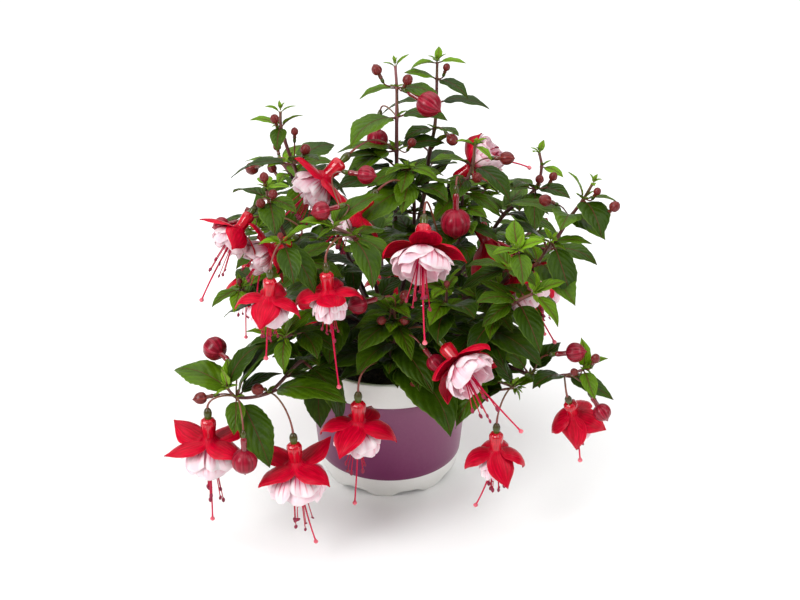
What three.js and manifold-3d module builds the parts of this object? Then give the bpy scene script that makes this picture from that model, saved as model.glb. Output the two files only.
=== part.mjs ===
// A potted fuchsia with double flowers, in a 12 cm pot. Millimetres, +Z up, front towards -Y.
// The origin is on the pot's axis, on the surface that the pot stands on.
import * as THREE from "three";
import { mergeVertices } from "three/addons/utils/BufferGeometryUtils.js";
import Module from "manifold-3d";

const wasm = await Module();
wasm.setup();

// Driving dimensions of the pot
const POT_HEIGHT = 100;
const RIM_RADIUS = 60;
const RIM_ROUNDING = [0.6, 1.5];
const BASE_RADIUS = 48.3;
const WALL = 2.5;
const RIM_WALL = 2.6;
const FLOOR_WALL = 3;
const FEET = 8;
const FOOT_ARCH = 3.2;
const FOOT_TURN = 10;
const FOOT_RING = 3.3;
const FLOOR_UNDERSIDE = 5;
const FLOOR_THICKNESS = 2;
const DRAIN_RADIUS = 4;
const DRAIN_CIRCLE = 34;
const DRAIN_SIDES = 8;
const GAP = 0.3;
const BAND_BOTTOM = 16.6;
const BAND_TOP = 79.9;
const BAND_THICKNESS = 0.6;
const BAND_PROUD = 0.2;
const SOIL_TOP = 90;
const SOIL_MOUND = 2.5;
const POT_SIDES = FEET * 4;
// The pot's outside as [height, radius]
const POT_OUTLINE = [[0, BASE_RADIUS], [6, 50.2], [BAND_BOTTOM, 52.1], [BAND_TOP, 57.7], [96, 59.3],
  [POT_HEIGHT, RIM_RADIUS]];

// Driving dimensions of the woody crown and the stems
const CROWN_CENTRE = [0, 0, 99];
const CROWN_RADIUS = 8;
const CROWN_SIDES = 8;
const ARM_LENGTH = 27;
const ARM_RADIUS = 1.9;
const STEM_BASE_RADIUS = 1.6;
const STEM_TIP_RADIUS = 0.9;
const STEM_SIDES = 4;

// Driving dimensions of the leaves: the width is a share of the length, and a long leaf droops more
const LEAF_WIDTH = 0.46;
const LEAF_KEEL = 0.9;
const PETIOLE_SHARE = 0.16;
const PETIOLE_RADIUS = 0.9;
const BELLY_SHARE = 0.55;
const DROOP_BASE = 0.35;
const DROOP_PER_MM = 0.012;

// Driving dimensions of the flowers and the buds
const FLOWER_SIDES = 6;
const PEDICEL_RADIUS = 0.75;
const THIN_SIDES = 3;
const OVARY_LENGTH = 8;
const OVARY_BELLY = 3.5;
const OVARY_RADIUS = 2.7;
const OVARY_END_RADIUS = 0.9;
const OVARY_NECK_RADIUS = 1.8;
const TUBE_LENGTH = 15;
const TUBE_RADIUS = 5;
const TUBE_SHOULDER = 2;
const TUBE_MOUTH_RADIUS = 4.2;
const SEPAL_LENGTH = 28;
const SEPAL_HALF_WIDTH = 8;
const SEPAL_FOOT_HALF_WIDTH = 3;
const SEPAL_FOOT_OFFSET = 1.5;
const SEPAL_BELLY_SHARE = 0.45;
const SEPAL_DEPTH = 0.8;
const COROLLA_LENGTH = 22;
const COROLLA_SHOULDER = 8;
const COROLLA_HOLLOW = 9;
const COROLLA_HOLLOW_RADIUS = 2;
const STYLE_RADIUS = 0.65;
const STIGMA_RADIUS = 1.5;
const STYLE_ROOT = 6;
const BUD_SIDES = 5;
const BUD_TUBE_SHARE = 0.55;
const BUD_OVARY = 4;

// A leaf that would touch something is tried higher, lower or shorter: millimetres up, share of its reach
const LEAF_TRIES = [
  [0, 1], [5, 1], [-5, 1], [10, 1], [-10, 1], [0, 0.86], [7, 0.86], [-7, 0.86], [14, 0.86], [-14, 0.86],
  [0, 0.7], [8, 0.7], [-8, 0.7], [16, 0.7], [-16, 0.7], [0, 0.55], [10, 0.55], [-10, 0.55],
];
const LEAF_CLEARANCE = 0.35;

// Each stem runs from the crown through its points. A leaf is [point number, tip x, y, z], and a swollen
// bud is [point number, x, y, z, aim x, y, z, diameter].
const SHOOTS = [
  { name: "shoot_top_centre",
    stem: [[5, 8, 217], [5, 6, 245], [5, 5, 269], [5, 4, 290], [4, 3, 305]],
    leaves: [[1, -40, -40, 230], [1, 50, 36, 200], [2, -36, 2, 247], [2, 39, 20, 246],
      [3, -26, -28, 262], [3, 39, -6, 273], [4, -20, -6, 286], [4, 34, -8, 287]],
    swollen: [[3, 26, -12, 284, 0.75, -0.5, -0.3, 17], [3, -8, 12, 250, -0.1, -0.3, -0.9, 15]] },
  { name: "shoot_top_right",
    stem: [[25, 30, 205], [28, 30, 234], [31, 28, 252], [32, 27, 271], [32, 26, 288], [32, 25, 300]],
    leaves: [[3, 47, 8, 255], [3, 10, 12, 251], [4, -6, 38, 261], [4, 68, 14, 273], [5, 10, 12, 298],
      [5, 53, 4, 284], [6, 14, 18, 299], [6, 51, 16, 303]],
    swollen: [] },
  { name: "shoot_upper_left",
    stem: [[-43, -5, 204], [-59, -12, 231], [-63, -16, 244], [-68, -20, 263], [-70, -20, 272],
      [-70, -20, 282]],
    leaves: [[2, -65, -52, 216], [2, -46, 25, 226], [3, -106, -18, 237], [3, -41, -50, 246],
      [3, -36, 12, 248], [5, -90, -22, 278], [5, -55, -26, 283], [5, -71, -44, 265]],
    swollen: [] },
  { name: "shoot_left_high",
    stem: [[-59, -35, 182], [-72, -55, 223], [-76, -62, 239], [-77, -64, 248]],
    leaves: [[2, -112, -24, 200], [3, -101, -42, 238], [3, -70, -92, 229], [3, -58, -72, 235],
      [4, -61, -76, 254], [4, -79, -42, 247]],
    swollen: [[2, -107, -62, 221, -0.95, -0.1, -0.2, 11]] },
  { name: "shoot_left_mid",
    stem: [[-39, -45, 158], [-60, -78, 203], [-65, -92, 223]],
    leaves: [[2, -92, -86, 189], [2, -37, -90, 182], [3, -58, -116, 202], [3, -45, -110, 202],
      [3, -81, -96, 225], [3, -47, -96, 237]],
    swollen: [] },
  { name: "shoot_left_low",
    stem: [[-58, -30, 127], [-84, -52, 160], [-97, -60, 174]],
    leaves: [[1, -81, -10, 103], [2, -112, -44, 145], [2, -84, -45, 188], [3, -115, -76, 170],
      [3, -100, -84, 171]],
    swollen: [] },
  { name: "shoot_front_left",
    stem: [[-30, -52, 150], [-57, -82, 155], [-66, -100, 161]],
    leaves: [[1, -39, -86, 132], [2, -96, -112, 135], [2, -105, -84, 130], [2, -45, -110, 152],
      [3, -91, -98, 165], [3, -66, -118, 146], [3, -56, -98, 176]],
    swollen: [] },
  { name: "shoot_lower_left",
    stem: [[-36, -46, 119], [-57, -76, 130], [-79, -98, 118], [-98, -106, 120], [-103, -110, 129]],
    leaves: [[2, -30, -88, 79], [3, -25, -112, 133], [4, -143, -78, 126], [4, -69, -94, 132],
      [4, -99, -126, 104], [4, -76, -128, 80], [5, -104, -96, 143]],
    swollen: [[4, -92, -132, 88, 0, -0.1, -1, 17], [4, -114, -78, 140, -0.6, 0.75, 0.1, 16]] },
  { name: "shoot_front_centre",
    stem: [[3, -54, 114], [4, -62, 135], [4, -68, 154], [2, -72, 168]],
    leaves: [[1, -50, -88, 130], [1, -36, -74, 102], [1, 41, -112, 94], [2, 29, -108, 125],
      [3, -20, -98, 149], [3, 23, -92, 167], [4, -10, -82, 182], [4, 14, -92, 171]],
    swollen: [[2, 30, -92, 137, 0.6, -0.3, -0.7, 12], [3, -20, -88, 178, -0.95, -0.2, -0.2, 13]] },
  { name: "shoot_centre_left",
    stem: [[-11, -48, 178], [-23, -78, 221], [-34, -86, 231]],
    leaves: [[1, 2, -72, 197], [2, -9, -112, 202], [2, -41, -92, 218], [3, -55, -94, 234],
      [3, -28, -70, 242]],
    swollen: [[3, -42, -88, 243, -0.9, -0.3, -0.1, 12], [2, -14, -62, 256, 0.9, -0.3, 0, 12]] },
  { name: "shoot_centre_high",
    stem: [[16, -12, 187], [16, -13, 224], [12, -14, 240]],
    leaves: [[1, -9, -48, 203], [2, 37, -32, 221], [3, 33, -30, 239], [3, -3, -34, 244]],
    swollen: [] },
  { name: "shoot_front_right",
    stem: [[28, -58, 142], [36, -72, 164], [37, -76, 182]],
    leaves: [[1, 58, -78, 149], [1, 20, -84, 144], [2, 14, -88, 166], [2, 53, -112, 182],
      [3, 27, -94, 186], [3, 45, -80, 200]],
    swollen: [] },
  { name: "shoot_centre_right",
    stem: [[41, -30, 179], [48, -28, 205], [49, -16, 224], [55, -16, 243], [56, -18, 258]],
    leaves: [[2, 33, -58, 190], [2, 73, -40, 200], [3, 76, -24, 210], [3, 28, -40, 213],
      [4, 26, -34, 254], [4, 79, -44, 231], [5, 43, -24, 264], [5, 67, -30, 253]],
    swollen: [[3, 43, -48, 216, 0, -0.1, -1, 20]] },
  { name: "shoot_right_inner",
    stem: [[62, -50, 160], [78, -74, 195], [80, -88, 216]],
    leaves: [[1, 57, -70, 186], [2, 31, -72, 197], [2, 91, -104, 201], [3, 63, -98, 219],
      [3, 79, -70, 230], [3, 97, -88, 223], [3, 82, -112, 204]],
    swollen: [] },
  { name: "shoot_right_high",
    stem: [[64, 20, 163], [80, 16, 193], [100, 10, 215], [103, 6, 233], [101, 5, 243]],
    leaves: [[1, 77, -8, 166], [2, 98, -8, 198], [2, 63, 28, 205], [3, 122, -8, 217], [3, 83, -12, 227],
      [4, 117, -6, 231]],
    swollen: [] },
  { name: "shoot_right_tip",
    stem: [[80, -8, 158], [106, -32, 190], [118, -42, 218], [125, -46, 232], [130, -48, 244]],
    leaves: [[2, 138, -46, 186], [2, 79, -40, 215], [3, 74, -26, 221], [3, 147, -88, 216],
      [3, 107, -80, 228], [4, 115, -46, 253], [4, 145, -60, 238], [4, 133, -82, 222]],
    swollen: [] },
  { name: "shoot_right_mid",
    stem: [[76, -32, 142], [96, -60, 193], [103, -70, 213]],
    leaves: [[1, 102, -60, 156], [2, 117, -102, 186], [2, 79, -60, 214], [3, 86, -82, 220],
      [3, 128, -78, 216]],
    swollen: [] },
  { name: "shoot_right_low",
    stem: [[58, -64, 145], [81, -88, 180], [90, -98, 191]],
    leaves: [[1, 98, -108, 146], [1, 74, -100, 146], [2, 54, -106, 190], [2, 95, -122, 162],
      [3, 111, -92, 192], [3, 92, -88, 207], [3, 106, -112, 175]],
    swollen: [] },
  { name: "shoot_lower_right",
    stem: [[63, -50, 119], [93, -78, 120], [114, -86, 124], [126, -90, 131]],
    leaves: [[1, 95, -50, 130], [2, 97, -104, 127], [2, 114, -60, 136], [3, 91, -108, 125],
      [3, 145, -104, 117], [4, 125, -88, 153], [4, 141, -92, 146], [4, 132, -110, 121]],
    swollen: [[2, 120, -92, 145, 0.8, -0.2, 0.2, 13], [3, 138, -104, 107, 0.5, -0.3, -0.7, 12]] },
  { name: "shoot_low_right_inner",
    stem: [[40, -54, 114], [66, -72, 114], [82, -84, 114]],
    leaves: [[1, 53, -86, 101], [2, 43, -98, 88], [2, 87, -62, 128], [3, 100, -78, 123],
      [3, 64, -76, 137]],
    swollen: [] },
  { name: "shoot_back_left_high",
    stem: [[-46, 34, 180], [-66, 50, 202], [-76, 56, 214]],
    leaves: [[1, -78, 18, 172], [1, -30, 62, 178], [2, -98, 34, 190], [2, -60, 84, 192],
      [3, -104, 62, 214], [3, -62, 76, 222]],
    swollen: [] },
  { name: "shoot_back_left",
    stem: [[-54, 40, 138], [-84, 60, 150], [-98, 68, 157]],
    leaves: [[1, -84, 24, 128], [1, -46, 76, 138], [2, -112, 38, 140], [2, -80, 98, 140],
      [3, -126, 62, 150], [3, -104, 96, 156], [3, -96, 62, 178]],
    swollen: [] },
  { name: "shoot_back_low_left",
    stem: [[-44, 50, 116], [-70, 82, 112], [-80, 94, 104]],
    leaves: [[1, -80, 50, 110], [1, -34, 84, 120], [2, -108, 84, 98], [2, -64, 120, 104],
      [3, -98, 116, 84], [3, -72, 108, 72]],
    swollen: [[3, -76, 108, 90, 0.1, 0.4, -0.9, 14]] },
  { name: "shoot_back",
    stem: [[-6, 58, 140], [-8, 92, 146], [-8, 112, 144]],
    leaves: [[1, -40, 74, 146], [1, 26, 78, 150], [2, -46, 108, 132], [2, 30, 110, 140],
      [3, -26, 134, 130], [3, 14, 136, 132], [3, -6, 114, 166]],
    swollen: [] },
  { name: "shoot_back_low_right",
    stem: [[46, 54, 114], [68, 88, 110], [76, 100, 103]],
    leaves: [[1, 80, 52, 116], [1, 30, 86, 122], [2, 104, 86, 98], [2, 54, 124, 104], [3, 98, 118, 84],
      [3, 66, 118, 70]],
    swollen: [[2, 80, 104, 86, 0.1, 0.4, -0.9, 15]] },
  { name: "shoot_back_right",
    stem: [[58, 38, 136], [88, 58, 148], [104, 66, 155]],
    leaves: [[1, 90, 24, 130], [1, 46, 76, 142], [2, 118, 36, 142], [2, 78, 96, 142], [3, 132, 56, 150],
      [3, 108, 98, 148], [3, 98, 60, 176]],
    swollen: [] },
  { name: "shoot_back_right_high",
    stem: [[42, 44, 162], [60, 60, 180], [70, 66, 190]],
    leaves: [[1, 76, 28, 168], [1, 20, 70, 168], [2, 92, 44, 184], [2, 44, 96, 174], [3, 102, 70, 192],
      [3, 62, 90, 202], [3, 58, 44, 204]],
    swollen: [] },
];

// A flower hangs from a point of a shoot. top is where its stalk meets the ovary, aim is the direction it
// faces, skirt is the corolla's radius, style how far the pistil reaches past the tube, sway where its tip
// swings to, and each sepal is [bearing, angle from the axis where it leaves the tube, angle at its tip].
const WIDE = [[45, 100, 62], [135, 100, 62], [225, 98, 55], [315, 98, 55]];
const ARCHED = [[0, 112, 38], [90, 105, 60], [180, 112, 38], [270, 100, 50]];
const TURNED = [[70, 105, 50], [160, 110, 42], [250, 92, 38], [340, 100, 35]];
const HALF = [[20, 62, 8], [110, 60, 5], [200, 64, 8], [290, 50, 5]];
const FLOWERS = [
  { name: "flower_left_low", shoot: "shoot_lower_left", at: 4,
    top: [-116, -114, 117], aim: [0, -0.05, -1], skirt: 17, style: 61, sway: [-1, 0],
    sepals: [[30, 105, 88], [150, 108, 88], [205, 98, 62], [310, 95, 62]] },
  { name: "flower_front_left", shoot: "shoot_lower_left", at: 3,
    top: [-62, -114, 98], aim: [0.05, -0.05, -1], skirt: 20, style: 60, sway: [9, -2],
    sepals: [[40, 112, 96], [140, 110, 88], [235, 98, 42], [318, 98, 42]] },
  { name: "flower_front", shoot: "shoot_front_centre", at: 1,
    top: [-20, -102, 122], aim: [0, -0.05, -1], skirt: 15.5, style: 62, sway: [-3, 0],
    sepals: TURNED },
  { name: "flower_front_right", shoot: "shoot_low_right_inner", at: 3,
    top: [70, -104, 99], aim: [0, -0.02, -1], skirt: 9, style: 43, sway: [-9, 0],
    sepals: [[0, 104, 12], [90, 95, 30], [180, 104, 12], [285, 48, 2]] },
  { name: "flower_right_low", shoot: "shoot_lower_right", at: 3,
    top: [115, -102, 117], aim: [-0.02, -0.05, -1], skirt: 9, style: 36, sway: [7, 0],
    sepals: HALF },
  { name: "flower_left_mid", shoot: "shoot_left_mid", at: 3,
    top: [-72, -113, 216], aim: [-0.08, -0.05, -1], skirt: 14.5, style: 42, sway: [0, 0],
    sepals: TURNED },
  { name: "flower_centre_left", shoot: "shoot_centre_left", at: 2,
    top: [-39, -104, 216], aim: [0.06, -0.08, -1], skirt: 13, style: 66, sway: [2, 0],
    sepals: ARCHED },
  { name: "flower_centre", shoot: "shoot_centre_right", at: 1,
    top: [22, -70, 233], aim: [-0.05, -0.62, -0.78], skirt: 16.5, style: 60, sway: [4, -8],
    sepals: ARCHED },
  { name: "flower_side", shoot: "shoot_front_centre", at: 2.4,
    top: [31, -92, 156], aim: [0.62, -0.42, -0.66], skirt: 15.5, style: 56, sway: [4, -6],
    sepals: ARCHED },
  { name: "flower_top_right", shoot: "shoot_centre_right", at: 3,
    top: [40, 12, 215], aim: [0.72, 0, 0.68], skirt: 14, style: 44, sway: [4, -30],
    sepals: ARCHED },
  { name: "flower_left_high", shoot: "shoot_left_high", at: 3,
    top: [-84, -62, 235], aim: [-0.5, -0.3, -0.8], skirt: 13, style: 50, sway: [0, -6],
    sepals: HALF },
  { name: "flower_left_back", shoot: "shoot_left_high", at: 2,
    top: [-57, -62, 214], aim: [-0.5, -0.3, -0.8], skirt: 12, style: 34, sway: [0, 0],
    sepals: WIDE },
  { name: "flower_upper_left", shoot: "shoot_top_centre", at: 2,
    top: [-25, -28, 257], aim: [-0.72, -0.3, -0.62], skirt: 14, style: 40, sway: [0, 0],
    sepals: WIDE },
  { name: "flower_upper_back", shoot: "shoot_centre_high", at: 2,
    top: [-7, -42, 237], aim: [-0.7, -0.2, -0.68], skirt: 11, style: 40, sway: [0, 0],
    sepals: HALF },
  { name: "flower_right_mid", shoot: "shoot_right_inner", at: 2,
    top: [72, -54, 202], aim: [0.5, -0.25, -0.83], skirt: 14, style: 50, sway: [0, 0],
    sepals: WIDE },
  { name: "flower_inner_right", shoot: "shoot_centre_right", at: 2,
    top: [57, -14, 208], aim: [0.4, -0.3, -0.86], skirt: 12, style: 29, sway: [0, 0],
    sepals: HALF },
  { name: "flower_back_left", shoot: "shoot_back_left", at: 3,
    top: [-106, 74, 132], aim: [-0.1, 0.1, -1], skirt: 16, style: 55, sway: [2, 0],
    sepals: WIDE },
  { name: "flower_back", shoot: "shoot_back", at: 3,
    top: [4, 112, 116], aim: [0.05, 0.08, -1], skirt: 15, style: 55, sway: [-3, 2],
    sepals: TURNED },
  { name: "flower_back_right", shoot: "shoot_back_right", at: 3,
    top: [112, 76, 132], aim: [0.1, 0.1, -1], skirt: 15, style: 52, sway: [2, 2],
    sepals: ARCHED },
  { name: "flower_back_low", shoot: "shoot_back_low_left", at: 2,
    top: [-52, 100, 96], aim: [0, 0.1, -1], skirt: 14, style: 50, sway: [0, 2],
    sepals: WIDE },
];

// Colour and roughness of each kind of piece
const FINISHES = {
  pot: [0xeeeeea, 0.38], label_band: [0x6d2f5e, 0.45], soil: [0x1d1511, 0.95], woody_crown: [0x5a3a28, 0.8],
  shoot: [0x3c5a22, 0.45], flower: [0xc8102e, 0.35],
};

const vec = (p) => new THREE.Vector3(...p);
const UPWARDS = vec([0, 0, 1]);
const CROWN = vec(CROWN_CENTRE);
const along = (from, direction, distance) => from.clone().addScaledVector(direction, distance);

// A closed body as a solid that can be joined and cut
function solid(geometry) {
  geometry.deleteAttribute("normal");
  geometry.deleteAttribute("uv");
  const merged = mergeVertices(geometry, 1e-4);
  const index = merged.index.array;
  const triangles = [];
  for (let i = 0; i < index.length; i += 3) {
    const [a, b, c] = [index[i], index[i + 1], index[i + 2]];
    if (a !== b && b !== c && c !== a) triangles.push(a, b, c);
  }
  const positions = merged.attributes.position.array;
  const corner = (i) => new THREE.Vector3().fromArray(positions, 3 * i);
  let volume = 0;
  for (let i = 0; i < triangles.length; i += 3) {
    volume += corner(triangles[i]).dot(corner(triangles[i + 1]).cross(corner(triangles[i + 2])));
  }
  if (volume < 0) triangles.reverse();
  const mesh = new wasm.Mesh({
    numProp: 3,
    vertProperties: Float32Array.from(positions),
    triVerts: Uint32Array.from(triangles),
  });
  return new wasm.Manifold(mesh);
}

const join = (solids) => solids.reduce((whole, piece) => whole.add(piece));

function touches(a, b) {
  const boxA = a.boundingBox();
  const boxB = b.boundingBox();
  for (let i = 0; i < 3; i++) {
    if (boxA.max[i] < boxB.min[i] || boxB.max[i] < boxA.min[i]) return false;
  }
  return a.intersect(b).volume() > 1e-6;
}

// A body through cross-sections, each { at, across, up, width, height }, capped flat at both ends.
// It is a lathe whose rings are moved onto the sections.
function loft(sections, sides) {
  const first = { ...sections[0], width: 0, height: 0 };
  const last = { ...sections[sections.length - 1], width: 0, height: 0 };
  const rings = [first, ...sections, last];
  const profile = rings.map((ring, j) => new THREE.Vector2(ring === first || ring === last ? 0 : 1, j));
  const lathe = new THREE.LatheGeometry(profile, sides);
  const place = lathe.attributes.position;
  for (let i = 0; i < place.count; i++) {
    const ring = rings[Math.round(place.getY(i))];
    const point = along(ring.at, ring.across, place.getX(i) * ring.width);
    point.addScaledVector(ring.up, place.getZ(i) * ring.height);
    place.setXYZ(i, point.x, point.y, point.z);
  }
  return solid(lathe);
}

// Two directions square to a given one
function sideways(direction) {
  const reference = Math.abs(direction.z) > 0.9 ? vec([0, 1, 0]) : UPWARDS;
  const across = new THREE.Vector3().crossVectors(reference, direction).normalize();
  const up = new THREE.Vector3().crossVectors(direction, across);
  return { across, up };
}

const roundSection = (at, direction, radius) => (
  { at, ...sideways(direction), width: radius, height: radius }
);

// A round stalk along a curve whose radius is given by a function of the share of its length
function stalk(curve, steps, sides, radius) {
  let { across } = sideways(curve.getTangent(0));
  const sections = [];
  for (let i = 0; i <= steps; i++) {
    const direction = curve.getTangent(i / steps);
    across = along(across, direction, -across.dot(direction)).normalize();
    const up = new THREE.Vector3().crossVectors(direction, across);
    const r = radius(i / steps);
    sections.push({ at: curve.getPoint(i / steps), across, up, width: r, height: r });
  }
  return loft(sections, sides);
}

function latheSolid(profile, shape) {
  const lathe = new THREE.LatheGeometry(profile.map(([r, z]) => new THREE.Vector2(r, z)), POT_SIDES);
  lathe.rotateX(Math.PI / 2);
  if (shape) shape(lathe.attributes.position);
  return solid(lathe);
}

// The pot's outer radius at a height
function outerRadius(z) {
  const above = POT_OUTLINE.findIndex(([height]) => height >= z);
  if (above < 1) return POT_OUTLINE[0][1];
  const [z0, r0] = POT_OUTLINE[above - 1];
  const [z1, r1] = POT_OUTLINE[above];
  return r0 + (r1 - r0) * (z - z0) / (z1 - z0);
}

const floorTop = FLOOR_UNDERSIDE + FLOOR_THICKNESS;
const hollowTop = outerRadius(BAND_TOP) - WALL;
const hollowBottom = outerRadius(floorTop) - FLOOR_WALL;

// The foot ring is raised between the feet, so that water drains out under it
function raiseArches(place) {
  for (let i = 0; i < place.count; i++) {
    if (Math.abs(place.getZ(i)) > 0.01) continue;
    const degrees = THREE.MathUtils.radToDeg(Math.atan2(place.getY(i), place.getX(i)));
    const share = THREE.MathUtils.euclideanModulo(((degrees + FOOT_TURN) / 360) * FEET, 1);
    if (share > 0.3 && share < 0.85) place.setZ(i, FOOT_ARCH);
  }
}

function pot() {
  const recess = BAND_THICKNESS + GAP - BAND_PROUD;
  const [roundingAcross, roundingDown] = RIM_ROUNDING;
  const edge = 0.1;
  const profile = [
    [BASE_RADIUS, 0],
    [POT_OUTLINE[1][1], POT_OUTLINE[1][0]],
    [outerRadius(BAND_BOTTOM), BAND_BOTTOM - GAP - edge],
    [outerRadius(BAND_BOTTOM) - recess, BAND_BOTTOM - GAP],
    [outerRadius(BAND_TOP) - recess, BAND_TOP + GAP],
    [outerRadius(BAND_TOP), BAND_TOP + GAP + edge],
    [RIM_RADIUS, POT_HEIGHT - roundingDown],
    [RIM_RADIUS - roundingAcross, POT_HEIGHT],
    [RIM_RADIUS - RIM_WALL, POT_HEIGHT],
    [hollowTop, BAND_TOP],
    [hollowBottom, floorTop],
    [0, floorTop],
    [0, FLOOR_UNDERSIDE],
    [BASE_RADIUS - FOOT_RING, FLOOR_UNDERSIDE],
    [BASE_RADIUS - FOOT_RING, 0],
    [BASE_RADIUS, 0],
  ];
  let body = latheSolid(profile, raiseArches);
  for (let i = 0; i < FEET; i++) {
    const turn = (2 * Math.PI * i) / FEET;
    const hole = new THREE.CylinderGeometry(DRAIN_RADIUS, DRAIN_RADIUS, 4 * FLOOR_THICKNESS, DRAIN_SIDES);
    hole.rotateX(Math.PI / 2);
    hole.translate(DRAIN_CIRCLE * Math.cos(turn), DRAIN_CIRCLE * Math.sin(turn), FLOOR_UNDERSIDE);
    body = body.subtract(solid(hole));
  }
  return body;
}

function labelBand() {
  const skin = (z) => outerRadius(z) + BAND_PROUD;
  return latheSolid([
    [skin(BAND_BOTTOM), BAND_BOTTOM],
    [skin(BAND_TOP), BAND_TOP],
    [skin(BAND_TOP) - BAND_THICKNESS, BAND_TOP],
    [skin(BAND_BOTTOM) - BAND_THICKNESS, BAND_BOTTOM],
    [skin(BAND_BOTTOM), BAND_BOTTOM],
  ]);
}

function soil() {
  const fit = 2 * GAP;
  const edgeDrop = 1.5;
  const shoulder = 8;
  const moundRadius = CROWN_RADIUS + 6;
  return latheSolid([
    [0, floorTop + GAP],
    [hollowBottom - fit, floorTop + GAP],
    [hollowTop - fit, BAND_TOP],
    [hollowTop, SOIL_TOP - edgeDrop],
    [hollowTop - shoulder, SOIL_TOP],
    [moundRadius, SOIL_TOP + SOIL_MOUND],
    [0, SOIL_TOP + SOIL_MOUND],
  ]);
}

// The old wood at the middle of the pot, with an arm towards each shoot
const armDirection = (shoot) => vec(shoot.stem[0]).sub(CROWN).normalize();

function woodyCrown() {
  const foot = vec([0, 0, SOIL_TOP + SOIL_MOUND + GAP]);
  const stump = loft([
    roundSection(foot, UPWARDS, CROWN_RADIUS),
    roundSection(along(foot, UPWARDS, 3), UPWARDS, 0.8 * CROWN_RADIUS),
    roundSection(along(CROWN, UPWARDS, 3), UPWARDS, 1.6 * ARM_RADIUS),
  ], CROWN_SIDES);
  const arms = SHOOTS.map((shoot) => {
    const direction = armDirection(shoot);
    const end = along(CROWN, direction, ARM_LENGTH);
    const thick = roundSection(CROWN, direction, 1.5 * ARM_RADIUS);
    return loft([thick, roundSection(end, direction, ARM_RADIUS)], STEM_SIDES);
  });
  return join([stump, ...arms]);
}

function stemCurve(shoot) {
  const start = along(CROWN, armDirection(shoot), ARM_LENGTH + GAP);
  return new THREE.CatmullRomCurve3([start, ...shoot.stem.map(vec)], false, "centripetal");
}

// Where a leaf or a bud leaves the stem: the curve passes each of the stem's points in equal steps
const nodePoint = (shoot, number) => stemCurve(shoot).getPoint(number / shoot.stem.length);
const stemRadius = (share) => STEM_BASE_RADIUS + (STEM_TIP_RADIUS - STEM_BASE_RADIUS) * share;

// The stem has a ring at each of its points, so that what grows there starts on its axis
const stem = (shoot) => stalk(stemCurve(shoot), shoot.stem.length, STEM_SIDES, stemRadius);

// A leaf droops along a circular arc from its base to its tip, in an upright plane. The blade has three
// corners to a section: two edges and a keel under the midrib.
function leafSections(base, tip, clearance) {
  const chord = tip.clone().sub(base);
  const length = chord.length();
  const heading = vec([chord.x, chord.y, 0]).normalize();
  const across = vec([-heading.y, heading.x, 0]);
  const droop = DROOP_BASE + DROOP_PER_MM * length;
  const start = Math.asin(chord.z / length) + droop / 2;
  const radius = length / (2 * Math.sin(droop / 2));
  const section = (share, halfWidth, keel) => {
    const angle = start - droop * share;
    const at = along(base, heading, radius * (Math.sin(start) - Math.sin(angle)));
    at.z += radius * (Math.cos(angle) - Math.cos(start));
    const down = along(heading.clone().multiplyScalar(Math.sin(angle)), UPWARDS, -Math.cos(angle));
    return { at, across, up: down, width: halfWidth + clearance, height: keel + clearance };
  };
  return [
    section(0, PETIOLE_RADIUS, PETIOLE_RADIUS),
    section(PETIOLE_SHARE, PETIOLE_RADIUS, PETIOLE_RADIUS),
    section(BELLY_SHARE, LEAF_WIDTH * length / 2, LEAF_KEEL),
    section(1, 0, 0),
  ];
}

// A stalk leaves the stem outwards and upwards, and ends in the direction of what it carries
const leaving = (span) => vec([0.8 * span.x, 0.8 * span.y, 0.6 * Math.hypot(span.x, span.y)]).normalize();

function stalkCurve(start, end, aim) {
  const span = end.clone().sub(start);
  return new THREE.CubicBezierCurve3(start, along(start, leaving(span), 0.35 * span.length()),
    along(end, aim, -0.45 * span.length()), end);
}

// A swollen bud has its own ovary and short tube before the ribbed red body
function swollenBud(centre, aim, diameter, stalkStart) {
  const radius = diameter / 2;
  const tubeStart = -radius - BUD_TUBE_SHARE * diameter;
  const profile = [
    [tubeStart - BUD_OVARY, 0.8],
    [tubeStart, 2.2],
    [-0.9 * radius, 2.6],
    [-0.4 * radius, 0.9 * radius],
    [0.4 * radius, 0.95 * radius],
    [1.35 * radius, 0],
  ];
  const sections = profile.map(([distance, r]) => roundSection(along(centre, aim, distance), aim, r));
  const stalkEnd = along(centre, aim, tubeStart - BUD_OVARY + 0.5);
  const stalkPart = stalk(stalkCurve(stalkStart, stalkEnd, aim), 2, THIN_SIDES, () => PEDICEL_RADIUS);
  return loft(sections, BUD_SIDES).add(stalkPart);
}

// The stalk that a flower hangs from starts just clear of the stem's side
function pedicel(spec, shoot, top, aim) {
  const share = spec.at / shoot.stem.length;
  const anchor = stemCurve(shoot).getPoint(share);
  const stemDirection = stemCurve(shoot).getTangent(share);
  const pull = top.clone().sub(anchor);
  const endTilt = leaving(pull);
  pull.addScaledVector(stemDirection, -pull.dot(stemDirection)).normalize();
  endTilt.cross(pull);
  const start = along(anchor, pull, stemRadius(share) + PEDICEL_RADIUS * endTilt.length() + GAP);
  return stalk(stalkCurve(start, along(top, aim, 0.4), aim), 3, THIN_SIDES, () => PEDICEL_RADIUS);
}

// Bearings are counted from +X towards +Y for a flower that hangs straight down
function flowerFrame(aim) {
  const across = along(vec([1, 0, 0]), aim, -aim.x).normalize();
  const up = new THREE.Vector3().crossVectors(across, aim);
  return { across, up };
}

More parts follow.
